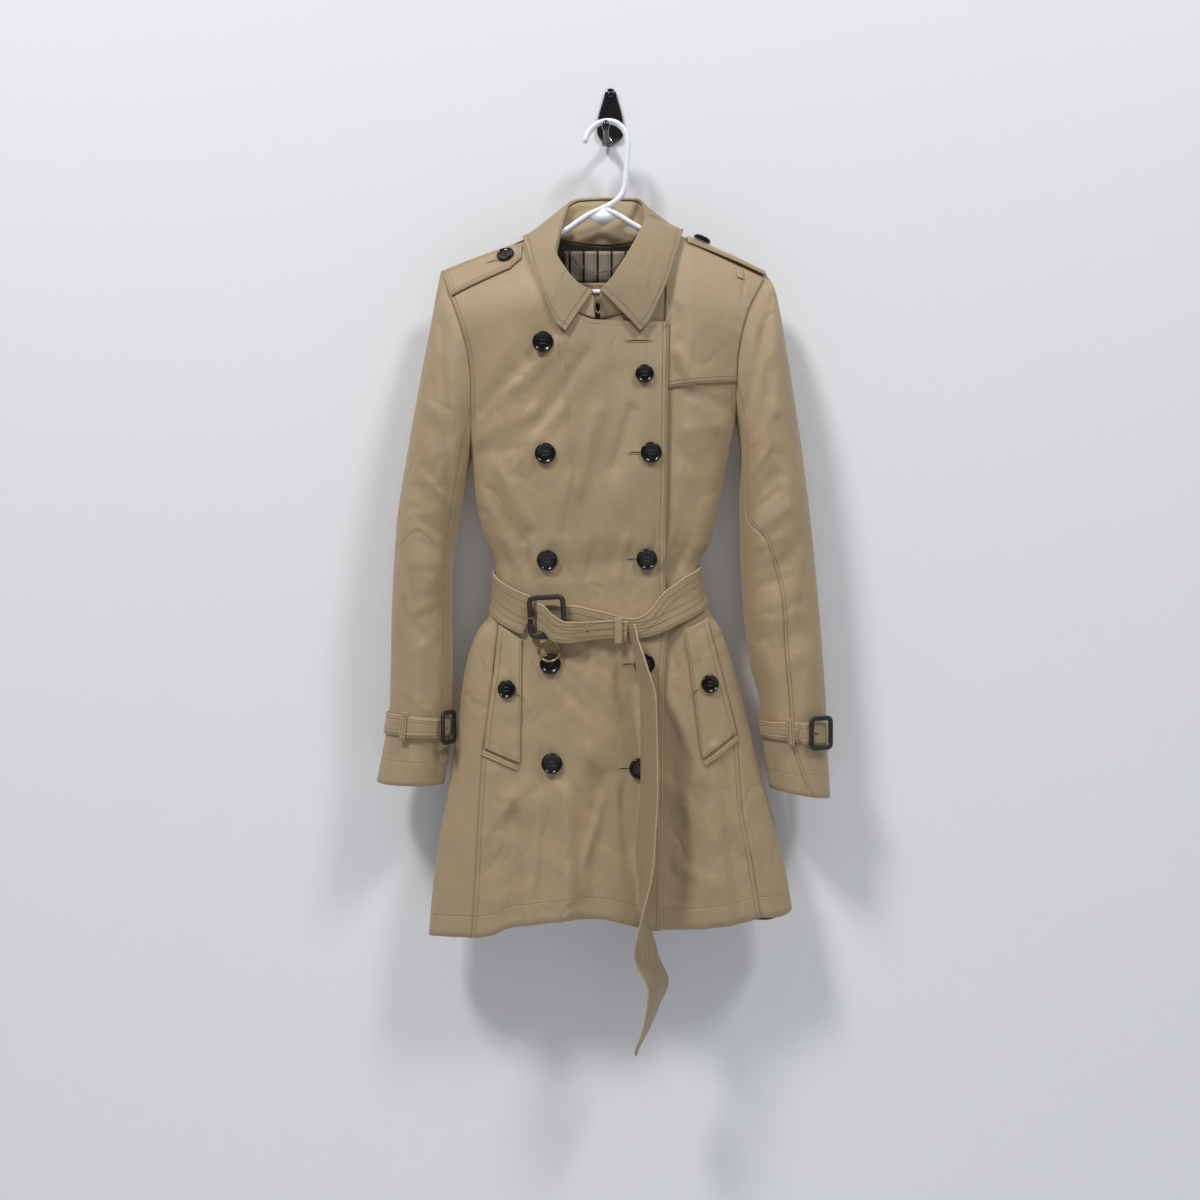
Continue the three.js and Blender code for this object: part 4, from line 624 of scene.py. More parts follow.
def body(w, z, drop=None, calm=False):
    s, c = np.sin(w * math.pi / 2), np.cos(w * math.pi / 2)
    centre, half = middle_and_half(z)
    x = centre + half * np.sign(s) * np.abs(s) ** (2 / SQUARENESS)
    side = (BODY.front(z) + BODY.back(z)) / 2
    depth = np.where(c > 0, BODY.front(z), BODY.back(z)) - side
    flat = side + depth * np.abs(c) ** (2 / SQUARENESS)
    below = np.clip((RIDGE.z(x) - z) / SHOULDER_FALL, 0, 1)
    swell = np.sin(math.pi / 2 * below**SHOULDER_ROUND)
    front = relief(FRONT_CREASES, x, z)
    back = relief(BACK_CREASES, x, z)
    if not calm:
        under_belt = np.exp(-(((z - BELT_Z) / BELT_REACH) ** 2))
        front = front + relief(FINE_FRONT, x, z) * lerp(FINE_OPEN, FINE_UNDER_BELT, under_belt) + ripple(x, z)
        back = back + relief(FINE_BACK, x, z) * FINE_BEHIND + ripple(x, z, 3.0)
    bulge = np.where(c > 0, front, back) * np.abs(c) * swell
    lowered = 0 if drop is None else drop(x) * swell
    y = RIDGE_Y + (flat - RIDGE_Y) * swell + np.where(c > 0, lowered - bulge, bulge)
    return np.stack([x, y, z + 0 * x], -1)


def front_turn(x, z):
    centre, half = middle_and_half(z)
    u = np.clip((x - centre) / half, -1, 1)
    return np.arcsin(np.sign(u) * np.abs(u) ** (SQUARENESS / 2)) / (math.pi / 2)


def back_turn(x, z):
    return -2 - front_turn(x, z)


def lap_drop(x):
    return LAP_DROP * (1 - smooth(x, 72, 100))


# %% [markdown]
# ## From a grid to a piece of cloth
# A piece of cloth is a grid of points with a face on each side, and a rounded turned edge all the way round. The
# same grid gives its UV map in metres, the distance of every point to each edge, and its flat size as it was cut,
# which goes into a list of cuts. `cloth` does all of that, so that each piece below is only its shape. A Solidify
# modifier could make the wall, but the edges, the lining's side and the flat layout would still have to be found.

# %% Small tools for a piece
PIECES = {}
CUTS = []
CLOTH_WALL, SEAM_GAP, RIDGE_GAP, ROUNDING = 1.5, 0.14, 0.6, 0.16
SMALLEST_CUT, SMALLEST_SHARE, EDGE_SHARE = 0.0105, 0.31, 1.2


def unit(vectors):
    return vectors / np.maximum(np.linalg.norm(vectors, axis=-1, keepdims=True), 1e-9)


def grid_normals(points, outward=None):
    rows = np.gradient(points, axis=0)
    columns = np.gradient(points, axis=1)
    n = unit(np.cross(columns, rows))
    if outward is not None and np.sum(n * outward) < 0:
        n = -n
    return n


def pulled_back(points, gap, top_gap):
    points = points.copy()
    for axis in (1, 0):
        swapped = np.moveaxis(points, axis, 0)
        swapped[0] += unit(swapped[1] - swapped[0]) * (gap if axis else gap + top_gap)
        swapped[-1] += unit(swapped[-2] - swapped[-1]) * gap
    return points


def measured_along(points, axis):
    """How far each point lies from the grid's first edge, measured on the surface."""
    steps = np.linalg.norm(np.diff(points, axis=axis), axis=2)
    return np.concatenate([np.zeros_like(steps.take([0], axis)), np.cumsum(steps, axis)], axis)


def new_mesh(name, vertices, faces, material, slots=(), face_slots=None):
    mesh = bpy.data.meshes.new(name)
    mesh.from_pydata(np.asarray(vertices).tolist(), [], [list(map(int, f)) for f in faces])
    for look in (material, *slots):
        mesh.materials.append(look)
    if face_slots is not None:
        mesh.polygons.foreach_set("material_index", np.asarray(face_slots, np.int32))
    mesh.polygons.foreach_set("use_smooth", np.ones(len(mesh.polygons), bool))
    mesh.update()
    return keep(bpy.data.objects.new(name, mesh))


def adopt(obj, nodes):
    """The piece rides with the coat and stands for its solids, which are hidden."""
    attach(obj, "root")
    if nodes:
        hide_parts(*nodes)
    return obj


def signed_volume(vertices, faces):
    total = 0.0
    for f in faces:
        for k in range(1, len(f) - 1):
            total += float(np.dot(vertices[f[0]], np.cross(vertices[f[k]], vertices[f[k + 1]])))
    return total


def beside_ridge(p, side):
    """Points near the shoulder ridge are held on their own side of it, -1 in front and 1 behind."""
    near = p[..., 2] > RIDGE.z(p[..., 0]) - 6
    off_ridge = np.maximum(side * (p[..., 1] - RIDGE_Y), 0.12)
    p[..., 1] = np.where(near, RIDGE_Y + side * off_ridge, p[..., 1])


# %% Faces, flat layout and cut of a piece
def rim_of(rows, columns):
    """The grid places all the way round the edge, and for each the place one step further in."""
    rim = [(0, j) for j in range(columns)] + [(i, columns - 1) for i in range(1, rows)]
    rim += [(rows - 1, j) for j in range(columns - 2, -1, -1)] + [(i, 0) for i in range(rows - 2, 0, -1)]
    within = [(min(max(i, 1), rows - 2), min(max(j, 1), columns - 2)) for i, j in rim]
    return tuple(np.array(rim).T), tuple(np.array(within).T)


def shell_faces(index, loop):
    """Faces of the outer side, the inner side and the turned edge, in that order."""
    a, b, c, d = index[:-1, :-1], index[1:, :-1], index[1:, 1:], index[:-1, 1:]
    outer = np.stack([a, b, c, d], -1).reshape(-1, 4)
    inner = np.stack([a, d, c, b], -1).reshape(-1, 4) + index.size
    turned_edge = 2 * index.size + np.arange(len(loop))
    after = np.roll(np.arange(len(loop)), -1)
    edge_up = np.stack([loop, loop[after], turned_edge[after], turned_edge], -1)
    edge_down = np.stack([turned_edge, turned_edge[after], loop[after] + index.size, loop + index.size], -1)
    return np.concatenate([outer, inner, edge_up, edge_down])


def lay_flat(obj, across, down, loop):
    """The flat cloth as a UV map in metres, and every point's distance to each of the four edges."""
    middle = across.shape[1] // 2
    u, v = across - across[:, middle:middle + 1], down.mean(1, keepdims=True) + 0 * across
    flat_uv = np.stack([u, v], -1).reshape(-1, 2) * MM
    edges = (np.stack([across, across[:, -1:] - across, down, down[-1:] - down], -1) * MM).reshape(-1, 4)
    all_uv = np.concatenate([flat_uv, flat_uv, flat_uv[loop]])
    all_edges = np.concatenate([edges, edges, edges[loop]])
    corner = np.empty(len(obj.data.loops), np.int32)
    obj.data.loops.foreach_get("vertex_index", corner)
    layer = obj.data.uv_layers.new(name="cloth")
    layer.data.foreach_set("uv", all_uv[corner].astype(np.float32).ravel())
    distances = obj.data.attributes.new("edges", "FLOAT_COLOR", "POINT")
    distances.data.foreach_set("color", all_edges.astype(np.float32).ravel())


def declare_cut(obj, outer, across, down, thickness):
    width, length = across[:, -1].max() * MM, down[-1].max() * MM
    quads = np.cross(outer[1:, 1:] - outer[:-1, :-1], outer[:-1, 1:] - outer[1:, :-1])
    area = float(np.linalg.norm(quads, axis=-1).sum() / 2) * MM * MM
    with_edges = area + (width + length) * thickness * MM * EDGE_SHARE
    width, length = max(width, SMALLEST_CUT), max(length, SMALLEST_CUT)
    square = width * length
    facts = {"area": round(max(with_edges, SMALLEST_SHARE * square), 6)} if with_edges < square else {}
    CUTS.append((obj.name, round(width * 1000), round(length * 1000), round(area * 1e6)))


# %% cloth()
def cloth(name, points, outward, look, thickness=CLOTH_WALL, top=0.0, slot="gabardine", inside=None,
          top_gap=0.0, ridge_side=0):
    """A wall of cloth. top is how far the outer face stands off the given points, in millimetres."""
    n = grid_normals(points, outward)
    round_off = ROUNDING * thickness
    points = pulled_back(points, SEAM_GAP + round_off, top_gap)
    outer, inner = points + n * top, points + n * (top - thickness)
    rim, within = rim_of(*points.shape[:2])
    middle = (outer[rim] + inner[rim]) / 2 + unit(points[rim] - points[within]) * round_off
    if ridge_side:
        for part in (outer, inner, middle):
            beside_ridge(part, ridge_side)
    index = np.arange(n[..., 0].size).reshape(n.shape[:2])
    faces = shell_faces(index, index[rim])
    downward, rightward = points[1:, :-1] - points[:-1, :-1], points[:-1, 1:] - points[:-1, :-1]
    if np.sum(n[:-1, :-1] * np.cross(downward, rightward)) < 0:
        faces = faces[:, ::-1]
    slots = np.zeros(len(faces), np.int32)
    if inside is not None:
        side_faces = (index.shape[0] - 1) * (index.shape[1] - 1)
        slots[side_faces:2 * side_faces] = 1
    vertices = np.concatenate([outer.reshape(-1, 3), inner.reshape(-1, 3), middle])
    obj = new_mesh(name, vertices * MM, faces, look, [inside] if inside else [], slots)
    across, down = measured_along(outer, 1), measured_along(outer, 0)
    lay_flat(obj, across, down, index[rim])
    adopt(obj, [name.removesuffix("_cloth")])
    declare_cut(obj, outer, across, down, thickness)
    PIECES[name] = {"outer": outer, "n": n, "across": across, "down": down}


def radial(points, x=-12.0, y=-56.0):
    return points * (1, 1, 0) - np.array([x, y, 0])


# %% [markdown]
# ## Fronts, backs and sides
# Two fronts, two backs and two side panels make the body. The backs and sides together wrap round to the slanting
# side-front seams. Each is a four-sided patch stretched between its own edges, which are cut lines: free
# front edge, neck and shoulder, armhole and side seam, hem. Flat patterns could be draped and sewn by a simulation,
# but patches meet exactly along their seams. The lap's edge carries two rows of stitches.

# %% Cut lines and patches
def fallen(v, armpit_z, hem_z):
    level = np.interp((v - ARMPIT) * ROW_COUNT, range(len(LEVELS)), LEVELS)
    top, low = LEVELS[0], LEVELS[-1]
    return (level + (armpit_z - top) * smooth(level, top - 105, top)
            + (hem_z - low) * (1 - smooth(level, low, low + 140)))


def side_edge(side, hem_z):
    arm, seam = ARMHOLE[side], SIDE_SEAM[side]

    def edge(v):
        s = np.clip(v / ARMPIT, 0, 1)
        low = v > ARMPIT + 1e-6
        z = np.where(low, fallen(v, float(arm.z(1)), hem_z), arm.z(s))
        return front_turn(np.where(low, seam.x(z), arm.x(s)), z), z

    return edge


def free_edge(x_of, hem_z):
    def edge(v):
        z = np.where(v <= ARMPIT, lerp(-290, LEVELS[0], v / ARMPIT), fallen(v, LEVELS[0], hem_z))
        return front_turn(x_of(z), z), z

    return edge


def patch(first, last, top, low, u, v, blend=lambda u: u):
    """Points of a four-sided patch, as body turns and heights, for columns u and rows v.

    The bends of its edges fade quickly towards the middle, so that no cell of the grid folds over.
    """
    u, v = np.meshgrid(u, v)
    reach = blend(u)
    ends = [np.array([0.0]), np.array([1.0])]
    turn_weights = smooth(v, 0, 0.8), (1 - reach) ** 3, reach**3
    height_weights = 1 - (1 - v) ** 4, 1 - reach, reach
    made = []
    for k, (fade, near, far) in enumerate((turn_weights, height_weights)):
        (a, b), (c, d) = [[edge(e)[k][0] for e in ends] for edge in (top, low)]
        made.append(lerp(lerp(a, b, reach), lerp(c, d, reach), v)
                    + near * (first(v)[k] - lerp(a, c, v)) + far * (last(v)[k] - lerp(b, d, v))
                    + (1 - fade) * (top(u)[k] - lerp(a, b, reach)) + fade * (low(u)[k] - lerp(c, d, reach)))
    return made


def on_front(x, z):
    return front_turn(x, z), z


def hem_line(x0, x1):
    return lambda u: on_front(lerp(x0, x1, u), FRONT_HEM.z(lerp(x0, x1, u)))


def top_line(side):
    return lambda u: on_front(TOP[side].x(u), TOP[side].z(u))


HEM_Z = {"left": float(FRONT_HEM.z(-173)), "right": float(FRONT_HEM.z(187))}
left_seam, right_seam = side_edge("left", HEM_Z["left"]), side_edge("right", HEM_Z["right"])
ROWS = finer([0, 0.35 / ROW_COUNT, *(np.arange(1, ROW_COUNT + 1) / ROW_COUNT)], 5)
lap_w, lap_z = patch(
    free_edge(LAP_EDGE.x, float(FRONT_HEM.z(62))), left_seam, top_line("left"),
    hem_line(62, float(SIDE_SEAM["left"].x(HEM_Z["left"]))),
    finer([0, 0.11, 0.22, 0.33, 0.39, 0.45, 0.5, 0.55, 0.66, 0.77, 0.88, 1], 6), ROWS, np.square)
under_w, under_z = patch(
    free_edge(lambda z: UNDER_EDGE_X + 0 * z, float(FRONT_HEM.z(UNDER_EDGE_X))), right_seam, top_line("right"),
    hem_line(UNDER_EDGE_X, float(SIDE_SEAM["right"].x(HEM_Z["right"]))),
    finer([0, 0.09, 0.17, 0.25, 0.33, 0.41, 0.52, 0.64, 0.76, 0.88, 1], 6), ROWS, np.square)


def back_edge(seam, turn):
    def edge(v):
        w, z = seam(v)
        return np.where(v <= ARMPIT + 1e-6, -2 - w, w + turn), z

    return edge


FULL_TURN = -4
back_sides = back_edge(left_seam, 0), back_edge(right_seam, FULL_TURN)


def back_top(u):
    return back_turn(TOP["back"].x(u), TOP["back"].z(u)), TOP["back"].z(u)


def back_hem(u):
    start, end = (side(np.array([1.0]))[0][0] for side in back_sides)
    w = lerp(start, end, u)
    z = np.where(u <= 0, HEM_Z["left"], np.where(u >= 1, HEM_Z["right"], BACK_HEM.z(w)))
    near_seam = np.exp(-(np.minimum(u, 1 - u) / 0.03) ** 2)
    return w, lerp(z, lerp(HEM_Z["left"], HEM_Z["right"], u), near_seam)


back_w, back_z = patch(*back_sides, back_top, back_hem, finer(np.linspace(0, 1, 21), 5), ROWS)

# %% Sew the six panels
lap_cloth = gabardine("gabardine_lap", HONEY,
                      [("first", 6.5), ("first", 1.8), ("top", 6.5), ("last", 5.5), ("low", 26)])
seam_cloth = gabardine("gabardine_seamed", HONEY, [("last", 5.5), ("low", 26)])
back_look = gabardine("gabardine_back", HONEY, [("low", 26)])
lap_points = body(lap_w, lap_z)
under_points = body(under_w, under_z, lap_drop)
back_points = body(back_w, back_z)
BACK_COLUMNS = 25
lined = {"inside": dark_lining, "top_gap": RIDGE_GAP}
cloth("front_right_cloth", lap_points, radial(lap_points), lap_cloth, ridge_side=-1, **lined)
cloth("front_left_cloth", under_points, radial(under_points), seam_cloth, ridge_side=-1, **lined)
for k, name in enumerate(("side_left", "back_left", "back_right", "side_right")):
    panel = back_points[:, k * BACK_COLUMNS:(k + 1) * BACK_COLUMNS + 1]
    cloth(name + "_cloth", panel, radial(panel), back_look, ridge_side=1, **lined)
print("cloth cut so far, mm:", [c[:3] for c in CUTS])

# %% [markdown]
# ## Pieces laid on the body
# A gun flap covers the chest on one side, a storm shield the upper back, slanting flaps the pockets, and an epaulette
# each shoulder. Each is drawn as a four-sided outline on the body and lifted just clear of the cloth below. A
# Shrinkwrap modifier could press a flat piece on, but would stretch it over the folds. Their free edges are stitched,
# and the same finish presses the rows in.

# %% laid()
def straight(a, b):
    return lambda t: (lerp(a[0], b[0], t), lerp(a[1], b[1], t))


def along(table, start, end):
    return lambda t: (table.x(lerp(start, end, t)), table.z(lerp(start, end, t)))


def laid(name, edges, rows, columns, look, turn=front_turn, drop=None, lift=0.9, thickness=1.8, inside=False,
         **more):
    x, z = patch(*edges, np.linspace(0, 1, columns + 1), np.linspace(0, 1, rows + 1))
    points = body(turn(x, z), z, drop)
    top = -CLOTH_WALL - lift if inside else lift + thickness
    cloth(name, points, radial(points), look, thickness, top, **more)


def four_sided(top_out, top_in, low_out, low_in):
    return [straight(top_out, low_out), straight(top_in, low_in),
            straight(top_out, top_in), straight(low_out, low_in)]


chest_flap = gabardine("gabardine_flap", HONEY, [("low", 6), ("low", 2)])
shield_look = gabardine("gabardine_shield", HONEY, [("low", 6), ("low", 2)])
pocket_look = gabardine("gabardine_pocket", HONEY, [("first", 6), ("last", 2), ("low", 3)])
strap_look = gabardine("gabardine_strap", HONEY, [(s, i) for s in ("first", "last", "top", "low") for i in (2, 6)])
FLAP_START, FLAP_END = 0.06, 0.755
flap_corner, flap_low = (68, -171), (66, -372)
flap_tip, flap_end = ((float(ARMHOLE["right"].x(s)), float(ARMHOLE["right"].z(s))) for s in (FLAP_START, FLAP_END))
laid("gun_flap_cloth", [straight(flap_corner, flap_low), along(ARMHOLE["right"], FLAP_START, FLAP_END),
                        straight(flap_corner, flap_tip), straight(flap_low, flap_end)],
     46, 40, chest_flap, drop=lap_drop, lift=1.3, thickness=1.2)
laid("storm_shield_cloth", four_sided((-146, -207), (130, -207), (-163, -466), (132, -440)), 56, 80, shield_look,
     turn=back_turn, lift=1.7, thickness=1.5)
laid("pocket_flap_left_cloth", four_sided((-138, -666), (-110, -684), (-157, -818), (-112, -836)), 50, 18,
     pocket_look, lift=1.3)
laid("pocket_flap_right_cloth", four_sided((119, -658), (92, -672), (155, -800), (112, -832)), 50, 22,
     pocket_look, lift=1.3)
laid("pocket_welt_left_cloth", four_sided((-159, -821), (-114, -839), (-161, -827), (-116, -845)), 5, 20,
     strap_look, lift=1.05, thickness=1.2)
laid("pocket_welt_right_cloth", four_sided((156, -804), (113, -835), (159, -810), (116, -841)), 5, 20,
     strap_look, lift=1.05, thickness=1.2)


# %% Epaulettes, their loop, and the neck lining
def below_ridge(x, fall):
    return x, RIDGE.z(x) - fall


def rounded_end(left, right, low, mid, end):
    """An epaulette's long edge: straight for 0.85 of its length, then drawn in towards the point."""
    def edge(u):
        drawn_in = lerp(mid, end, (u - 0.85) / 0.15)
        return below_ridge(lerp(left, right, u), np.where(u < 0.85, lerp(low, mid, u), drawn_in))

    return edge


def fixed(x, fall):
    return tuple(float(c) for c in below_ridge(np.array(float(x)), fall))


laid("epaulette_left_cloth", [straight(fixed(-213, 5), fixed(-200, 47)), straight(fixed(-112, 9), fixed(-112, 30)),
                              rounded_end(-213, -112, 5, 3, 9), rounded_end(-200, -112, 47, 38, 30)],
     18, 46, strap_look, lift=0.9, thickness=2.2)
# The right epaulette arches over the ridge. k runs from front to back, neck and sleeve are how far each end lies
# below the ridge, in front where negative, and lift is how far it stands off.
ARCH = Table("k neck sleeve lift", [
    [0, -13, -7, 3.5], [1, -6, -3.5, 2.4], [2, 0, 0, 1.7], [3, 6, 5, 2], [4, 16, 16, 1.8]])
u, k = np.meshgrid(np.linspace(0, 1, 47), np.linspace(0, 4, 17))
fall = lerp(ARCH.neck(k), ARCH.sleeve(k), u)
x, z = below_ridge(lerp(96, 196, u), np.abs(fall))
arch = body(np.where(fall < 0, front_turn(x, z), back_turn(x, z)), z, lap_drop)
skyward = (arch - [0, RIDGE_Y, 0]) * [0, 1, 0] + [0, 0, 12]
arch += grid_normals(arch, skyward) * ARCH.lift(k)[..., None]
cloth("epaulette_right_cloth", arch, skyward, strap_look, thickness=2.2, top=2.2)
laid("epaulette_loop_cloth", four_sided((157, -218), (166, -221), (157, -231), (166, -234)), 4, 4, plain_cloth,
     drop=lap_drop, lift=2.9, thickness=1.2)
for patch_name, high, low, look, slot in [("neck_lining", -184, -221.7, neck_stripe, "lining"),
                                          ("neck_facing", -222.3, -250, plain_cloth, "gabardine")]:
    laid(patch_name + "_cloth", four_sided((-60, high), (44, high), (-60, low), (44, low)), 8, 24, look,
         turn=back_turn, inside=True, lift=1.6, thickness=1, slot=slot)

# %% [markdown]
# ## Collar
# The collar has two pieces. The stand rises from the neck seam, and the fall rolls over its top and lies on the
# chest and shoulders. Three lines round the neck steer the fall: the roll, a middle line that bulges as a soft roll
# does, and the outer edge with its two points. A bent strip would roll as well, but wouldn't end in points. All
# three lines are held clear of the cloth below.

# %% Collar lines and surfaces
ROLL = Table("t x y z", [
    [-1, -22, -95, -254], [-0.9, -41, -90, -243], [-0.8, -58, -82, -222], [-0.7, -70, -70, -196],
    [-0.6, -66, -57, -168], [-0.5, -62, -44, -144], [-0.38, -56, -31, -124], [-0.25, -40, -21, -114],
    [0, -2, -15, -111], [0.25, 30, -20, -113], [0.38, 44, -30, -124], [0.5, 45, -44, -147],
    [0.6, 37, -56, -171], [0.7, 25, -68, -196], [0.8, 12, -80, -219], [0.9, -1, -89, -239], [1, -14, -95, -253]])
BULGE = Table("t x y z", [
    [-1, -40, -106, -280], [-0.9, -56, -102, -268], [-0.8, -72, -94, -246], [-0.7, -85, -82, -217],
    [-0.6, -89, -66, -187], [-0.5, -88, -46, -159], [-0.38, -77, -27, -141], [-0.25, -54, -12, -137],
    [0, -3, -6, -139], [0.25, 42, -12, -137], [0.38, 60, -27, -138], [0.5, 69, -44, -154],
    [0.6, 64, -63, -182], [0.7, 54, -80, -211], [0.8, 42, -93, -239], [0.9, 28, -102, -264], [1, 12, -106, -279]])
LEAF = Table("t x y z", [
    [-1, -56, -110, -304], [-0.9, -66, -108, -296], [-0.8, -77, -103, -272], [-0.7, -90, -93, -238],
    [-0.6, -103, -74, -203], [-0.5, -113, -50, -171], [-0.38, -108, -27, -174], [-0.25, -72, -9, -181],
    [0, -4, -5, -184], [0.25, 64, -9, -178], [0.38, 89, -27, -166], [0.5, 92, -50, -164],
    [0.6, 82, -76, -201], [0.7, 71, -92, -236], [0.8, 59, -102, -266], [0.9, 47, -108, -291], [1, 36, -110, -304]])


COLLAR_LIFT_LEFT, COLLAR_LIFT_RIGHT = 4.0, 6.6


def clear_of_body(p):
    """Collar points held clear of the chest, shoulder and back below them."""
    x, y, z = p[..., 0], p[..., 1], p[..., 2]
    lift = lerp(COLLAR_LIFT_LEFT, COLLAR_LIFT_RIGHT, smooth(x, -20, 30))
    low = z - lift
    front = body(front_turn(x, low), low)[..., 1] - lift
    back = body(back_turn(x, low), low)[..., 1] + lift
    held = np.where(y < RIDGE_Y, np.minimum(y, front), np.maximum(y, back))
    return np.stack([x, np.where(low > RIDGE.z(x), y, held), z], -1)


def line_at(table, t):
    return clear_of_body(np.stack([table.x(t), table.y(t), table.z(t)], -1))


def to_axis(p):
    return unit(np.stack([-8 - p[..., 0], -50 - p[..., 1], 0 * p[..., 0]], -1))


def three_point_curve(a, b, c, s):
    """A smooth curve from a through b to c, passing b half way."""
    s = s[:, None, None]
    return a * (1 - s) * (1 - 2 * s) + 4 * b * s * (1 - s) + c * s * (2 * s - 1)


turns = np.linspace(-1, 1, 221)
roll, bulge, leaf = (line_at(table, turns) for table in (ROLL, BULGE, LEAF))
fall = clear_of_body(three_point_curve(roll, bulge, leaf, np.linspace(0, 1, 30)))
wave = ripple(fall[..., 0] * 1.3, fall[..., 2] * 1.3, 1.0)[..., None]
fall -= to_axis(fall) * wave * np.linspace(0, 1, 30)[:, None, None]
TUCK_IN, TUCK_DOWN = 3.4, 3.7
tuck = roll + to_axis(roll) * TUCK_IN - [0, 0, TUCK_DOWN]
start = np.array([lerp(tuck, roll, s) + [0, 0, 1.0 * math.sin(math.pi * s)] for s in (0, 0.35, 0.7)])
fall_points = np.concatenate([start, fall])
# The collar's darker colour is painted shade.
collar_look = gabardine("gabardine_collar", SHADED_COLLAR_HONEY, [("low", 6.5), ("first", 6.5), ("last", 6.5)], rim_lightening=0.14)
away = -to_axis(fall_points) + [0, 0, 0.9]
cloth("collar_fall_cloth", fall_points, away, collar_look, thickness=1.8)

# %% Collar stand, from the panels' own neck edges
LAP_NECK, BACK_NECK, UNDER_NECK = slice(18, 43), slice(35, 66), slice(6, 31)
neck = np.concatenate([lap_points[0][LAP_NECK], back_points[0][BACK_NECK], under_points[0][UNDER_NECK][::-1]])
knots = np.concatenate([np.linspace(-1, -0.5, 25), np.linspace(-0.375, 0.375, 31), np.linspace(0.5, 1, 25)])
stand_turns = np.linspace(-1, 1, 161)
neck = np.stack([np.interp(stand_turns, knots, neck[:, k]) for k in range(3)], -1)
stand_roll = line_at(ROLL, stand_turns)
STAND_IN, STAND_DOWN, NECK_IN, NECK_UP = 1.9, 5.6, 1.5, 0.5
stand_top = stand_roll + to_axis(stand_roll) * STAND_IN - [0, 0, STAND_DOWN]
stand_low = neck + to_axis(neck) * NECK_IN + [0, 0, NECK_UP]
stand_points = np.array([lerp(stand_low, stand_top, s) for s in np.linspace(0, 1, 10)])
cloth("collar_stand_cloth", stand_points, -to_axis(stand_points), plain_cloth, thickness=1.4)

# %% [markdown]
# ## Sleeves
# A coat sleeve is a bent tube in two strips: a wide top sleeve and a narrow under sleeve. Each ring is a slanting
# oval from the outer edge over the front to the inner edge. Near the shoulder the rings take the armhole's own curve.
# Creases gather inside the elbow and along the front, as they do in a sleeve that has been worn. A thick curve would
# be quicker, but it stays round, and a hanging sleeve is wide at the shoulder and flatter at the cuff.

# %% Sleeve tables and creases
SLEEVE = {
    "left": Table("v outX outZ inX inZ front back", [
        [0, -217, -214, -177, -455, -84, -18], [0.06, -221, -236, -181, -476, -90, -15],
        [0.15, -229, -284, -186, -503, -97, -11], [0.3, -241, -354, -194, -545, -99, -10],
        [0.45, -257, -442, -201, -592, -98, -10], [0.6, -272, -545, -202, -650, -96, -11],
        [0.75, -278, -655, -201, -710, -95, -12], [0.88, -280, -758, -203, -785, -94, -14],
        [0.94, -287, -812, -206, -830, -94, -14], [1, -297, -864, -212, -867, -95, -13]]),
    "right": Table("v outX outZ inX inZ front back", [
        [0, 199, -219, 159, -408, -84, -18], [0.06, 208, -234, 163, -428, -89, -15],
        [0.15, 216, -272, 165, -456, -96, -11], [0.3, 228, -350, 163, -505, -98, -10],
        [0.45, 243, -450, 164, -565, -98, -10], [0.6, 256, -560, 168, -645, -96, -11],
        [0.75, 266, -670, 177, -716, -95, -12], [0.85, 272, -755, 190, -768, -94, -14],
        [0.93, 275, -825, 194, -820, -94, -14], [1, 278, -884, 202, -872, -95, -13]])}
SLEEVE_SEAMS = {
    "left": Table("v front back", [[0, 0.75, 1.25], [0.5, 0.8, 1.3], [1, 0.8, 1.35]]),
    "right": Table("v front back", [[0, 0.75, 1.25], [0.38, 0.82, 1.3], [0.52, 0.6, 1.3], [0.65, 0.52, 1.35],
                                    [0.9, 0.58, 1.35], [1, 0.45, 1.35]])}
SLEEVE_CREASES = {
    "left": [(-212, -290, -202, -430, 9, -4), (-202, -440, -199, -556, 8, -3.5), (-196, -560, -230, -640, 14, 3),
             (-262, -520, -236, -600, 16, 2.5)],
    "right": [(168, -400, 196, -270, 9, -4), (188, -436, 184, -560, 12, 3), (200, -610, 238, -560, 13, -3),
              (214, -690, 218, -770, 12, -2.5)]}
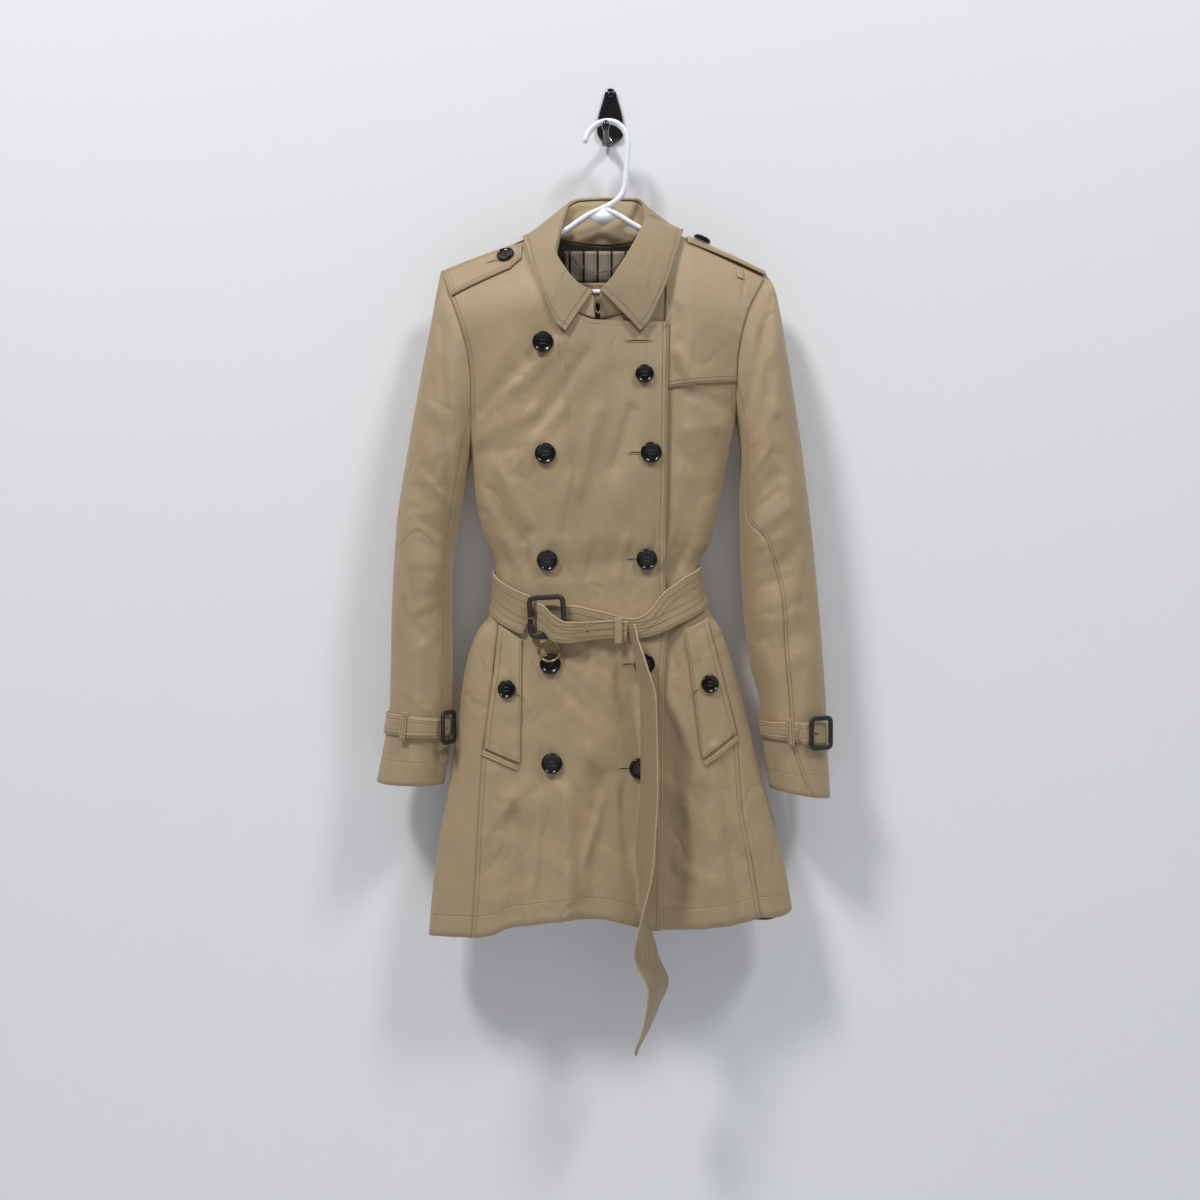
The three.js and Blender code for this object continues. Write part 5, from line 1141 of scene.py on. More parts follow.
FINE_SLEEVE = {
    "left": [(-200, -500, -232, -470, 7, -1.8), (-200, -540, -244, -512, 7, 1.6), (-202, -580, -240, -560, 6, -1.8),
             (-204, -604, -262, -628, 7, 1.4), (-206, -640, -250, -664, 6, -1.4), (-240, -300, -226, -400, 10, 1.6),
             (-250, -440, -238, -520, 9, -1.4), (-208, -690, -214, -760, 8, 1.4), (-262, -690, -254, -760, 9, -1.2),
             (-236, -700, -240, -850, 10, 1.2), (-188, -480, -214, -400, 7, 1.8), (-206, -330, -196, -420, 6, 1.4),
             (-198, -520, -226, -486, 4, 2.0), (-199, -560, -236, -536, 4, -2.0), (-204, -590, -250, -590, 4, 1.9),
             (-204, -620, -246, -640, 4, -1.7), (-206, -668, -240, -700, 5, 1.8), (-214, -470, -222, -360, 5, -2.0),
             (-270, -600, -248, -660, 6, 1.9), (-262, -640, -232, -680, 5, -1.6), (-262, -740, -226, -772, 5, 1.5),
             (-246, -840, -240, -868, 6, 1.6), (-228, -250, -214, -330, 7, 1.8)],
    "right": [(168, -520, 204, -480, 8, -2.0), (168, -556, 220, -520, 8, 1.8), (170, -600, 214, -588, 7, -1.6),
              (178, -650, 236, -624, 8, 1.6), (186, -684, 244, -676, 8, -1.4), (228, -330, 214, -440, 10, 1.6),
              (196, -330, 186, -430, 8, -1.6), (240, -480, 226, -560, 9, 1.4), (246, -700, 240, -770, 9, 1.4),
              (200, -720, 204, -780, 7, 1.2), (232, -830, 238, -876, 9, -1.2), (174, -440, 206, -400, 8, 1.6),
             (166, -490, 196, -446, 4, 2.0), (166, -534, 206, -500, 4, -2.0), (168, -574, 214, -556, 4, 1.9),
             (172, -622, 226, -604, 4, -1.8), (180, -664, 236, -650, 5, 1.8), (196, -380, 188, -300, 5, -2.0),
             (212, -300, 206, -400, 7, 1.8), (250, -560, 238, -640, 6, -1.8), (240, -700, 206, -730, 5, 1.7),
             (216, -270, 200, -330, 6, 1.6), (226, -420, 220, -520, 7, 1.6)]}


def armhole(side, theta):
    s = np.where(theta <= 1, theta, 2 - theta)
    x, z = ARMHOLE[side].x(s), ARMHOLE[side].z(s)
    return body(np.where(theta <= 1, front_turn(x, z), back_turn(x, z)), z)


def oval(side, theta, v):
    t = SLEEVE[side]
    c, s = np.cos(math.pi * theta), np.sin(math.pi * theta)
    return np.stack([(t.outX(v) + t.inX(v)) / 2 + (t.outX(v) - t.inX(v)) / 2 * c,
                     (t.front(v) + t.back(v)) / 2 + (t.front(v) - t.back(v)) / 2 * s,
                     (t.outZ(v) + t.inZ(v)) / 2 + (t.outZ(v) - t.inZ(v)) / 2 * c], -1)


SLEEVE_HEAD = 0.3


def sleeve(side, theta, v):
    """A point of the sleeve; over its head, the rings fade into the armhole."""
    theta = np.mod(theta, 2) + 0 * v
    p = oval(side, theta, v)
    fade = (1 - np.minimum(1, v / SLEEVE_HEAD)) ** 2
    p = p + (armhole(side, theta) - oval(side, theta, 0 * v)) * fade[..., None]
    facing = np.sin(math.pi * theta)
    creases = relief(SLEEVE_CREASES[side] + FINE_SLEEVE[side], p[..., 0], p[..., 2])
    slow = ripple(p[..., 0] * 1.4, p[..., 2] * 1.2, 2.0) * 0.8
    p[..., 1] -= (creases + slow * np.sign(facing)) * facing * smooth(v, 0, 0.12)
    return p


def sleeve_core(side, v):
    return (oval(side, 0 * v, v) + oval(side, 0 * v + 1, v)) / 2


# %% Sew the sleeves
sleeve_look = gabardine("gabardine_sleeve", HONEY, [("last", 4), ("low", 30)])
SLEEVE_ROWS = finer([0, 0.05, 0.11, 0.18, 0.25, 0.32, 0.39, 0.46, 0.53, 0.6, 0.67, 0.74, 0.81, 0.87, 0.905,
                     0.94, 1], 7)
for side in ("left", "right"):
    seams = SLEEVE_SEAMS[side]
    for strip, start, end, columns, look in [
            ("top", lambda v: seams.back(v) - 2, seams.front, 84, sleeve_look),
            ("under", seams.front, seams.back, 28, seam_cloth)]:
        u, v = np.meshgrid(np.linspace(0, 1, columns + 1), SLEEVE_ROWS)
        points = sleeve(side, lerp(start(v), end(v), u), v)
        cloth(f"{strip}_sleeve_{side}_cloth", points, points - sleeve_core(side, v), look, inside=dark_lining)

# %% [markdown]
# ## Cuff straps
# A strap rings each cuff and closes through a small covered buckle. Its pointed end lies on top, held by a cloth
# loop. All three are strips laid on the sleeve's own surface, one above the other, so that they bend with it.

# %% Straps, tabs and loops
CUFFS = {"left": dict(middle=0.904, sway=0.011, half=0.0145, gap=1.06, tab=(0.36, 0.8), loop=0.4, over=2),
         "right": dict(middle=0.899, sway=0.003, half=0.016, gap=0.06, tab=(0.52, 0.22), loop=0.58, over=1)}
STRAP_LIFT, STRAP_WALL, TAB_LIFT, LOOP_WALL = 1.3, 1.6, 0.7, 1.1


def cuff_level(side, k, theta):
    cuff = CUFFS[side]
    return cuff["middle"] + cuff["sway"] * np.cos(math.pi * theta) + k * cuff["half"]


def on_sleeve(name, side, thetas, high, low, rows, lift, thickness):
    theta, s = np.meshgrid(thetas, np.linspace(0, 1, rows + 1))
    v = lerp(cuff_level(side, high(theta), theta), cuff_level(side, low(theta), theta), s)
    points = sleeve(side, theta, v)
    cloth(name, points, points - sleeve_core(side, v), strap_look, thickness, lift + thickness)


def pointed(tip, back_end, sign):
    """One long edge of a tab: narrow at its tip and soon full."""
    return lambda t: 0.15 + sign * lerp(0.2, 1, smooth(np.abs(t - tip) / abs(back_end - tip), -0.06, 0.14))


for side in ("left", "right"):
    cuff = CUFFS[side]
    gap, (tip, back_end), loop = cuff["gap"], cuff["tab"], cuff["loop"]
    on_sleeve(f"cuff_strap_{side}_cloth", side, np.linspace(gap + 0.02, gap + 1.98, 113),
              lambda t: -1 + 0 * t, lambda t: 1 + 0 * t, 6, STRAP_LIFT, STRAP_WALL)
    on_sleeve(f"cuff_tab_{side}_cloth", side, np.linspace(tip, back_end, 41),
              pointed(tip, back_end, -1), pointed(tip, back_end, 1), 6,
              STRAP_LIFT + STRAP_WALL + TAB_LIFT, STRAP_WALL)
    on_sleeve(f"cuff_loop_{side}_cloth", side, np.linspace(loop - 0.03, loop + 0.03, 7),
              lambda t: -1.4 + 0 * t, lambda t: 1.5 + 0 * t, 12,
              STRAP_LIFT + cuff["over"] * (STRAP_WALL + TAB_LIFT), LOOP_WALL)

# %% [markdown]
# ## Belt
# The belt goes once round the waist, through its buckle and back over itself. Its end then drops from a loop,
# twists so that it is seen edge on, and flips over near the hem. Six rows of stitches run its whole length. It is
# stiff, doubled cloth that bridges small creases, so the part round the waist follows the body without them, and
# the free parts have tables of their own.

# %% Belt, tongue, tail, keeper and tab
BELT = Table("w high low", [
    [-4.36, -641, -682], [-4.1, -641, -682], [-3.88, -657, -683], [-3.6, -620, -665], [-3.3, -600, -650],
    [-3, -591, -640], [-2, -591, -638], [-1, -597, -647], [-0.7, -611, -659], [-0.36, -630, -677]])
TONGUE = Table("x high low y", [
    [-92, -638, -672, -105], [-84, -640, -673.5, -108.8], [-72, -652, -686, -112.2], [-53, -661, -688, -113],
    [-36, -661, -686, -109.4], [-14, -660, -683, -104.6], [4, -659, -682, -102.8], [21, -661, -687, -103]])
TAIL = Table("z x y half turn", [
    [-664, 25, -108.8, 7, 60], [-684, 29, -117.5, 15, 76], [-708, 35, -125.5, 21, 74], [-756, 45, -131, 23, 68],
    [-854, 46, -132, 23.5, 66], [-942, 41, -132, 23.5, 64], [-975, 40, -134, 23.5, 75], [-1006, 37, -134.5, 23.5, 88],
    [-1037, 39, -133, 23.5, 112], [-1066, 42, -128, 23.5, 128], [-1106, 57, -121, 23.5, 124],
    [-1138, 50, -113, 23, 113], [-1166, 41, -110, 20, 108], [-1188, 31, -108, 9, 106], [-1194, 30, -108, 3, 106]])
TO_ROOM = np.array([0, -1, 0])
belt_rows = [(s, i) for s in ("top", "low") for i in (3, 11, 19)]
tail_rows = [(s, i) for s in ("first", "last") for i in (3, 11, 19)]
belt_look = gabardine("gabardine_belt", BELT_HONEY, belt_rows)
tail_look = gabardine("gabardine_tail", BELT_HONEY, tail_rows)
belt_ends = [float(front_turn(-96.0, -650.0)), float(front_turn(-92.0, -660.0)) + FULL_TURN]
w, s = np.meshgrid(np.linspace(*belt_ends, 300), np.linspace(0, 1, 13))
belt_points = body(w, lerp(BELT.high(w), BELT.low(w), s), calm=True)
cloth("belt_cloth", belt_points, radial(belt_points), belt_look, thickness=2.4, top=4.3, slot="belt_gabardine")
x, s = np.meshgrid(np.linspace(-91, 20.4, 70), np.linspace(0, 1, 11))
tongue_points = np.stack([x, TONGUE.y(x) - 0.35 * np.sin(x / 9.0), lerp(TONGUE.high(x), TONGUE.low(x), s)], -1)
cloth("belt_tongue_cloth", tongue_points, TO_ROOM, belt_look, thickness=2.2, top=1.1, slot="belt_gabardine")
z, s = np.meshgrid(np.linspace(-664, -1194, 240), np.linspace(-1, 1, 11), indexing="ij")
angle, half = np.radians(TAIL.turn(z)), TAIL.half(z)
cup = 1.0 * (1 - s * s)
tail_points = np.stack([TAIL.x(z) + np.cos(angle) * half * s + np.sin(angle) * cup,
                        TAIL.y(z) - np.sin(angle) * half * s + np.cos(angle) * cup, z], -1)
cloth("belt_tail_cloth", tail_points, None, tail_look, thickness=2.0, top=1.0, slot="belt_gabardine")
KEEPER_HIGH, KEEPER_LOW, KEEPER_Y = -656, -689, -105.8
x, z = np.meshgrid(np.linspace(4, 14, 5), np.linspace(KEEPER_HIGH, KEEPER_LOW, 13))
from_middle = (z - (KEEPER_HIGH + KEEPER_LOW) / 2) / ((KEEPER_HIGH - KEEPER_LOW) / 2)
keeper_points = np.stack([x, KEEPER_Y + 0.5 * from_middle**4, z], -1)
cloth("belt_keeper_cloth", keeper_points, TO_ROOM, plain_cloth, thickness=1.3, top=0.4, slot="belt_gabardine")
x, z = np.meshgrid(np.linspace(-88, -65, 9), np.linspace(-683, -688, 4))
tab_points = np.stack([x, -104.9 + 0 * x, z], -1)
cloth("d_ring_tab_cloth", tab_points, TO_ROOM, plain_cloth, thickness=1.6, top=0.1, slot="belt_gabardine")

# %% [markdown]
# ## Stitches
# The rows of thread are made with Geometry Nodes: a path along each edge is cut into equal steps, one small grain of
# thread is set on each step and turned along the path, and the copies are made real. The paths come from the cloth
# grids themselves, at a set distance in from an edge, so every row follows its piece exactly. The stitches could be
# set one by one, but there are thousands of them.

# %% Paths and the stitch tree
def row_path(piece, side, inset, trim=3.0, lift=0.12):
    """Points a set distance in from one edge of a piece, on its outer face."""
    held = PIECES[piece]
    lines = held["outer"] + held["n"] * lift
    if side in ("first", "last"):
        arcs = held["across"]
    else:
        arcs, lines = held["down"].T, np.swapaxes(lines, 0, 1)
    path = []
    for arc, line in zip(arcs, lines):
        at = inset if side in ("first", "top") else arc[-1] - inset
        if arc[-1] > inset:
            path.append([np.interp(at, arc, line[:, k]) for k in range(3)])
    path = np.array(path)
    run = np.concatenate([[0], np.cumsum(np.linalg.norm(np.diff(path, axis=0), axis=1))])
    return path[(run >= trim) & (run <= run[-1] - trim)]


class PathTree:
    """A node tree that cuts paths into equal steps and sets a copy of something on each step."""

    def __init__(self, name, look, step, others):
        self.tree = bpy.data.node_groups.new(name, "GeometryNodeTree")
        self.socket("Geometry", "INPUT", "Geometry")
        for label in (step, *others):
            self.socket(label, "INPUT", "Float")
        self.socket("Geometry", "OUTPUT", "Geometry")
        add = self.tree.nodes.new
        self.inputs, output = add("NodeGroupInput"), add("NodeGroupOutput")
        curve, resample = add("GeometryNodeMeshToCurve"), add("GeometryNodeResampleCurve")
        resample.mode = "LENGTH"
        tangent, turn = add("GeometryNodeInputTangent"), add("FunctionNodeAlignRotationToVector")
        turn.axis = "X"
        self.place, self.real = add("GeometryNodeInstanceOnPoints"), add("GeometryNodeRealizeInstances")
        finish = add("GeometryNodeSetMaterial")
        finish.inputs["Material"].default_value = look
        self.join(self.inputs, "Geometry", curve, "Mesh")
        self.join(curve, "Curve", resample, "Curve")
        self.join(self.inputs, step, resample, "Length")
        self.join(resample, "Curve", self.place, "Points")
        self.join(tangent, 0, turn, "Vector")
        self.join(turn, "Rotation", self.place, "Rotation")
        self.join(self.real, "Geometry", finish, "Geometry")
        self.join(finish, "Geometry", output, "Geometry")

    def socket(self, label, way, kind):
        self.tree.interface.new_socket(label, in_out=way, socket_type="NodeSocket" + kind)

    def join(self, start, out, end, into):
        self.tree.links.new(start.outputs[out], end.inputs[into])


def stitch_tree(name, look):
    made = PathTree(name, look, "Stitch Step", ("Stitch Length", "Thread"))
    grain, size = made.tree.nodes.new("GeometryNodeMeshIcoSphere"), made.tree.nodes.new("ShaderNodeCombineXYZ")
    grain.inputs["Radius"].default_value = 0.5
    grain.inputs["Subdivisions"].default_value = 1
    made.join(grain, "Mesh", made.place, "Instance")
    for k, label in enumerate(("Stitch Length", "Thread", "Thread")):
        made.join(made.inputs, label, size, k)
    made.join(size, 0, made.place, "Scale")
    made.join(made.place, "Instances", made.real, "Geometry")
    return made.tree


def settled(obj, look):
    """The plain mesh that an object's modifiers give, with one finish on it."""
    bpy.context.view_layer.update()
    made = bpy.data.meshes.new_from_object(obj.evaluated_get(bpy.context.evaluated_depsgraph_get()))
    obj.modifiers.clear()
    made.materials.clear()
    made.materials.append(look)
    made.polygons.foreach_set("use_smooth", np.ones(len(made.polygons), bool))
    return made


def grown(name, paths, tree, values, look):
    """Runs a node tree on a set of paths and keeps the result as a plain mesh."""
    points = np.concatenate(paths) * MM
    edges, at = [], 0
    for path in paths:
        edges += [(at + k, at + k + 1) for k in range(len(path) - 1)]
        at += len(path)
    mesh = bpy.data.meshes.new(name)
    mesh.from_pydata(points.tolist(), edges, [])
    carrier = keep(bpy.data.objects.new(name + "_paths", mesh))
    modifier = carrier.modifiers.new("grow", "NODES")
    modifier.node_group = tree
    for item in tree.interface.items_tree:
        if item.in_out == "INPUT" and item.name in values:
            modifier[item.identifier] = values[item.name]
    made = settled(carrier, look)
    bpy.data.objects.remove(carrier)
    return keep(bpy.data.objects.new(name, made))


# %% Sew the rows
coat_rows = [row_path(*row) for row in [
    ("front_right_cloth", "first", 6.5), ("front_right_cloth", "first", 1.8), ("front_right_cloth", "last", 5.5),
    ("front_left_cloth", "last", 5.5), ("gun_flap_cloth", "low", 6), ("gun_flap_cloth", "low", 2),
    ("storm_shield_cloth", "low", 6), ("storm_shield_cloth", "low", 2), ("collar_fall_cloth", "low", 6.5),
    ("collar_fall_cloth", "first", 6.5), ("collar_fall_cloth", "last", 6.5)]]
for side in ("left", "right"):
    for edge in ("first", "last"):
        coat_rows.append(row_path(f"pocket_flap_{side}_cloth", edge, 6 if edge == "first" else 2))
    for edge in ("top", "low"):
        coat_rows += [row_path(f"epaulette_{side}_cloth", edge, inset) for inset in (2, 6)]
        coat_rows.append(row_path(f"cuff_strap_{side}_cloth", edge, 2, lift=0.1))
        coat_rows.append(row_path(f"cuff_tab_{side}_cloth", edge, 2))
    coat_rows.append(row_path(f"top_sleeve_{side}_cloth", "last", 4))
belt_paths = [row_path(piece, *row) for piece in ("belt_cloth", "belt_tongue_cloth") for row in belt_rows]
belt_paths += [row_path("belt_tail_cloth", *row) for row in tail_rows]
sewing = {"Stitch Step": 0.0042, "Stitch Length": 0.0031, "Thread": 0.00052}
closer = {**sewing, "Stitch Step": 0.0036, "Stitch Length": 0.0026}
tree = stitch_tree("stitches", honey_thread)
coat_stitches = adopt(grown("coat_stitches", coat_rows, tree, sewing, honey_thread), [])
belt_paths = [path for path in belt_paths if len(path) > 2]
belt_stitches = adopt(grown("belt_stitches", belt_paths, tree, closer, honey_thread), [])
print("stitch triangles:", [len(o.data.polygons) for o in (coat_stitches, belt_stitches)])

# %% [markdown]
# ## Buttons
# Each button is a turned disc of dark horn with a raised rim, a dished face and four holes, sewn on with thread that
# lifts it a little off the cloth. A lathe profile of fourteen points, spun in forty-eight steps, gives it, and a
# separate mesh holds the dark thread that crosses its holes. A Screw modifier on the profile would do the same.

# %% Turned and swept shapes
def frame_for(normal, roll=0.0):
    """Axes with +Z along the normal and +Y as near to up as it can be."""
    z = Vector(normal).normalized()
    x = Vector((0, 0, 1)).cross(z).normalized()
    axes = Matrix((x, z.cross(x), z)).transposed()
    return np.array(axes @ Matrix.Rotation(roll, 3, "Z"))


def placed(points, at, axes):
    return np.asarray(points) @ axes.T + np.asarray(at)


def turned(profile, segments=48):
    """Vertices and faces of a profile of (radius, height) spun round Z; its ends lie on the axis."""
    angles = np.linspace(0, 2 * math.pi, segments, endpoint=False)
    vertices, faces = [[0, 0, profile[0][1]]], []
    for r, h in profile[1:-1]:
        vertices += [[r * math.cos(a), r * math.sin(a), h] for a in angles]
    vertices.append([0, 0, profile[-1][1]])
    rings, last = len(profile) - 2, len(vertices) - 1
    for k in range(segments):
        after = (k + 1) % segments
        faces.append([0, 1 + after, 1 + k])
        for ring in range(rings - 1):
            a = 1 + ring * segments
            faces.append([a + k, a + after, a + segments + after, a + segments + k])
        a = 1 + (rings - 1) * segments
        faces.append([a + k, a + after, last])
    return np.array(vertices, float), faces


def swept_ring(path, widths, section=14, power=0.75):
    """A closed ring with an oval section: path in the XY plane, widths = half across and half deep."""
    path = np.asarray(path, float)
    tangent = unit(np.roll(path, -1, 0) - np.roll(path, 1, 0))
    outward = np.stack([tangent[:, 1], -tangent[:, 0]], -1)
    vertices, faces = [], []
    for p, o in zip(path, outward):
        for k in range(section):
            a = 2 * math.pi * k / section
            c, s = (math.copysign(abs(f(a)) ** power, f(a)) for f in (math.cos, math.sin))
            vertices.append([*(p + o * c * widths[0]), s * widths[1]])
    for i in range(len(path)):
        j = (i + 1) % len(path)
        for k in range(section):
            m = (k + 1) % section
            faces.append([i * section + k, j * section + k, j * section + m, i * section + m])
    vertices = np.array(vertices)
    if signed_volume(vertices, faces) < 0:
        faces = [f[::-1] for f in faces]
    return vertices, faces


def rounded_rectangle(width, height, corner, steps):
    path = []
    for cx, cy, start in [(1, -1, -90), (1, 1, 0), (-1, 1, 90), (-1, -1, 180)]:
        x, y = cx * (width / 2 - corner), cy * (height / 2 - corner)
        for a in np.radians(np.linspace(start, start + 90, steps)):
            path.append([x + corner * math.cos(a), y + corner * math.sin(a)])
    return path


def oval_path(across, up, steps):
    angles = np.linspace(0, 2 * math.pi, steps, endpoint=False)
    return [(across * math.cos(a), up * math.sin(a)) for a in angles]


def gathered(shapes):
    """Several (vertices, faces) as one."""
    vertices, faces, at = [], [], 0
    for v, f in shapes:
        vertices.append(np.asarray(v))
        faces += [[i + at for i in face] for face in f]
        at += len(v)
    return np.concatenate(vertices), faces


# %% Buttons and their thread
LARGE, SMALL, HOLE_OUT = 13, 11.4, 2.2
BUTTONS = {
    "left_1": LARGE, "left_2": LARGE, "left_3": LARGE, "left_4": LARGE, "left_5": LARGE,
    "right_1": SMALL, "right_2": LARGE, "right_3": LARGE, "right_4": LARGE, "right_5": LARGE,
    "pocket_left": SMALL, "pocket_right": SMALL, "epaulette_left": SMALL, "epaulette_right": SMALL}
BUTTON_PROFILE = [
    (0, 0.0), (0.55, 0.0), (0.86, 0.25), (0.96, 0.8), (1.0, 1.7), (0.995, 2.6), (0.955, 3.5), (0.9, 4.0),
    (0.84, 4.0), (0.79, 3.5), (0.74, 2.9), (0.6, 2.6), (0.35, 2.5), (0, 2.5)]
KNOT_PROFILE = [(0, 2.2), (1.1, 2.3), (1.15, 2.62), (0.7, 2.66), (0, 2.4)]
BAR_PROFILE = [(0, -2.2), (0.5, -2.0), (0.62, 0), (0.5, 2.0), (0, 2.2)]
CLOTH_FACES = np.concatenate([held["outer"].reshape(-1, 3) for held in PIECES.values()])


def solid_seat(node, radius):
    """Where a button sits: the middle of its solid's back, raised onto the cloth's creases, and its axis."""
    points = np.array([v.co[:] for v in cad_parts[node].data.vertices]) / MM
    centre = points.mean(0)
    axis = np.linalg.svd(points - centre)[2][2]
    axis = axis * (np.sign(-axis[1]) if abs(axis[1]) > 0.3 else np.sign(axis[2]))
    seat = centre + axis * ((points - centre) @ axis).min()
    height = (CLOTH_FACES - seat) @ axis
    away = np.linalg.norm(CLOTH_FACES - seat - height[:, None] * axis, axis=1)
    below = height[(away < radius) & (np.abs(height) < 3)]
    return seat + axis * (max(0.0, below.max(initial=0.0)) + 0.1), axis


threads = []
for name, radius in BUTTONS.items():
    node = "button_" + name
    seat, axis = solid_seat(node, radius)
    axes = frame_for(axis)
    vertices, faces = turned([(r * radius, h) for r, h in BUTTON_PROFILE])
    obj = new_mesh(node + "_horn", placed(vertices, seat, axes) * MM, faces, horn)
    adopt(obj, [node])
    for sx, sy in ((-1, -1), (1, -1), (-1, 1), (1, 1)):
        knot, f = turned(KNOT_PROFILE, 14)
        threads.append((placed(knot + [sx * HOLE_OUT, sy * HOLE_OUT, 0], seat, axes), f))
    for sy in (-1, 1):
        bar, f = turned(BAR_PROFILE, 10)
        lying = bar[:, [2, 1, 0]] + [0, sy * HOLE_OUT, 2.9]
        threads.append((placed(lying, seat, axes), [g[::-1] for g in f]))
vertices, faces = gathered(threads)
adopt(new_mesh("button_threads", vertices * MM, faces, dark_thread_and_hole_shade), [])
print("buttons:", len(BUTTONS))

# %% [markdown]
# ## Buckles, rings and prongs
# The buckles are rounded frames covered in black leather, so each is one soft section swept round a rounded
# rectangle. The ring under the belt and the hook at the throat are bent wire, made the same way with a round section.
# A bevelled curve would give these too, but not the squarish section of a covered frame. The prongs are so small
# that their solids only take the brass.

# %% Buckles and wire rings
def set_ring(node, finish, slot, look, path, widths, at, axes, raised=0.0, **section):
    """A ring swept along a path and put in place of its solid."""
    vertices, faces = swept_ring(path, widths, **section)
    vertices[:, 2] += raised
    made = new_mesh(f"{node}_{finish}", placed(vertices, at, axes) * MM, faces, look)
    adopt(made, [node])


covered = ("leather", "buckle_leather", leather)
set_ring("belt_buckle", *covered, rounded_rectangle(48 - 6.5, 54 - 6.5, 6, 10), (3.25, 2.5),
         np.array([-79, -101.8, -655]), frame_for((-0.1, -1, 0), 0.05), raised=2.5)
for side, normal in [("left", (0.93, -0.36, 0)), ("right", (0.5, -0.87, 0))]:
    lo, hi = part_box("cuff_buckle_" + side)
    at = np.array([(a + b) / 2 / MM for a, b in zip(lo, hi)]) - np.array(Vector(normal).normalized()) * 0.9
    set_ring("cuff_buckle_" + side, *covered, rounded_rectangle(36 - 6, 43 - 6, 5.5, 9), (3.0, 2.25), at,
             frame_for(normal))
d_path = [(x, min(y, 10.5)) for x, y in oval_path(13, 13, 64)]
set_ring("d_ring", "wire", "brass", brass, d_path, (1.5, 1.35), (-76, -107.2, -697),
         frame_for(TO_ROOM, -0.1), section=12, power=1.0)
set_ring("throat_hook", "wire", "steel", steel, oval_path(4, 9, 48), (0.9, 0.8), (-16, -103.4, -272),
         frame_for(TO_ROOM), section=12, power=1.0)
for node in ("belt_prong", "cuff_prong_left", "cuff_prong_right"):
    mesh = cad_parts[node].data
    mesh.materials.clear()
    mesh.materials.append(brass)

# %% [markdown]
# ## Neck chain
# A short chain inside the back neck is the coat's own hanging loop. Oval links are set along its curve, each turned a
# quarter round from the last, which is a job for the same kind of node tree as the stitches.

# %% Chain links
def link_tree(look):
    made = PathTree("chain_links", look, "Link Step", ("Link Size",))
    add, join = made.tree.nodes.new, made.join
    oval, wire = add("GeometryNodeCurvePrimitiveCircle"), add("GeometryNodeCurvePrimitiveCircle")
    for ring, count, radius in ((oval, 14, 1.0), (wire, 7, 0.2)):
        ring.inputs["Resolution"].default_value = count
        ring.inputs["Radius"].default_value = radius
    sweep, squash = add("GeometryNodeCurveToMesh"), add("GeometryNodeTransform")
    squash.inputs["Scale"].default_value = (1.25, 0.8, 1.0)
    number, quarter = add("GeometryNodeInputIndex"), add("ShaderNodeMath")
    quarter.operation = "MULTIPLY"
    quarter.inputs[1].default_value = math.pi / 2
    axis, spin = add("ShaderNodeCombineXYZ"), add("GeometryNodeRotateInstances")
    join(oval, "Curve", sweep, "Curve")
    join(wire, "Curve", sweep, "Profile Curve")
    join(sweep, "Mesh", squash, "Geometry")
    join(squash, "Geometry", made.place, "Instance")
    join(made.inputs, "Link Size", made.place, "Scale")
    join(number, 0, quarter, 0)
    join(quarter, 0, axis, 0)
    join(made.place, "Instances", spin, "Instances")
    join(axis, 0, spin, "Rotation")
    join(spin, "Instances", made.real, "Geometry")
    return made.tree


LINING_LIFT, LINING_WALL, HALF_LINK, CHAIN_ROOM = 1.6, 1, 1.7, 1.4
CHAIN_LINE = Table("k x z", [[0, -55, -188], [1, -42, -202], [2, -18, -212], [3, 4, -206], [4, 17, -193]])
run = np.linspace(0, 4, 60)
chain_x, chain_z = np.interp(run, CHAIN_LINE.key, CHAIN_LINE.rows[:, 1]), CHAIN_LINE.z(run)
inwards = CLOTH_WALL + LINING_LIFT + LINING_WALL + HALF_LINK + CHAIN_ROOM
chain = body(back_turn(chain_x, chain_z), chain_z) - [0, inwards, 0]
links = grown("neck_chain_links", [chain], link_tree(steel), {"Link Step": 0.0034, "Link Size": 0.0019}, steel)
adopt(links, ["neck_chain"])
print("chain faces:", len(links.data.polygons))

# %% [markdown]
# ## Hanger and wall hook
# The hanger is a moulded plastic tube with a small web under its neck. A smooth curve with a round section gives the
# tube. The hook is a cast plate with a prong: a copy of its solid is merged, remeshed finely and smoothed, so that
# its edges soften the way thick enamel does.

# %% Tube hanger
HOOK_Y, ARM_Y, TUBE = -42, -46.5, 3.75
LEFT_HALF = [
    (-33, HOOK_Y, -48), (-29, HOOK_Y, -37.5), (-21, HOOK_Y, -28), (-11, HOOK_Y, -23), (1, HOOK_Y, -22.3),
    (10, HOOK_Y, -26), (18, HOOK_Y, -35), (21.5, HOOK_Y, -48), (21, HOOK_Y, -66), (19.5, HOOK_Y, -90),
    (17, HOOK_Y, -109), (12, HOOK_Y, -119), (2, -43, -127.5), (-13, -44.5, -135.5), (-29, -46, -143.5),
    (-56, ARM_Y, -162), (-80, ARM_Y, -176.3), (-102, ARM_Y, -184.5), (-150, ARM_Y, -200.5), (-184, ARM_Y, -215),
    (-196, ARM_Y, -221), (-201, ARM_Y, -230), (-196, ARM_Y, -238), (-180, ARM_Y, -241), (-90, ARM_Y, -242),
    (-8, ARM_Y, -242)]
RIGHT_HALF = [
    (-14, ARM_Y, -242), (80, ARM_Y, -242), (166, ARM_Y, -242), (180, ARM_Y, -240), (186, ARM_Y, -233),
    (182, ARM_Y, -226), (170, ARM_Y, -219), (140, ARM_Y, -203.5), (92, ARM_Y, -184), (66, ARM_Y, -174.3),
    (32, ARM_Y, -157.5), (9, -46, -143.5), (-6, -45, -136.5)]


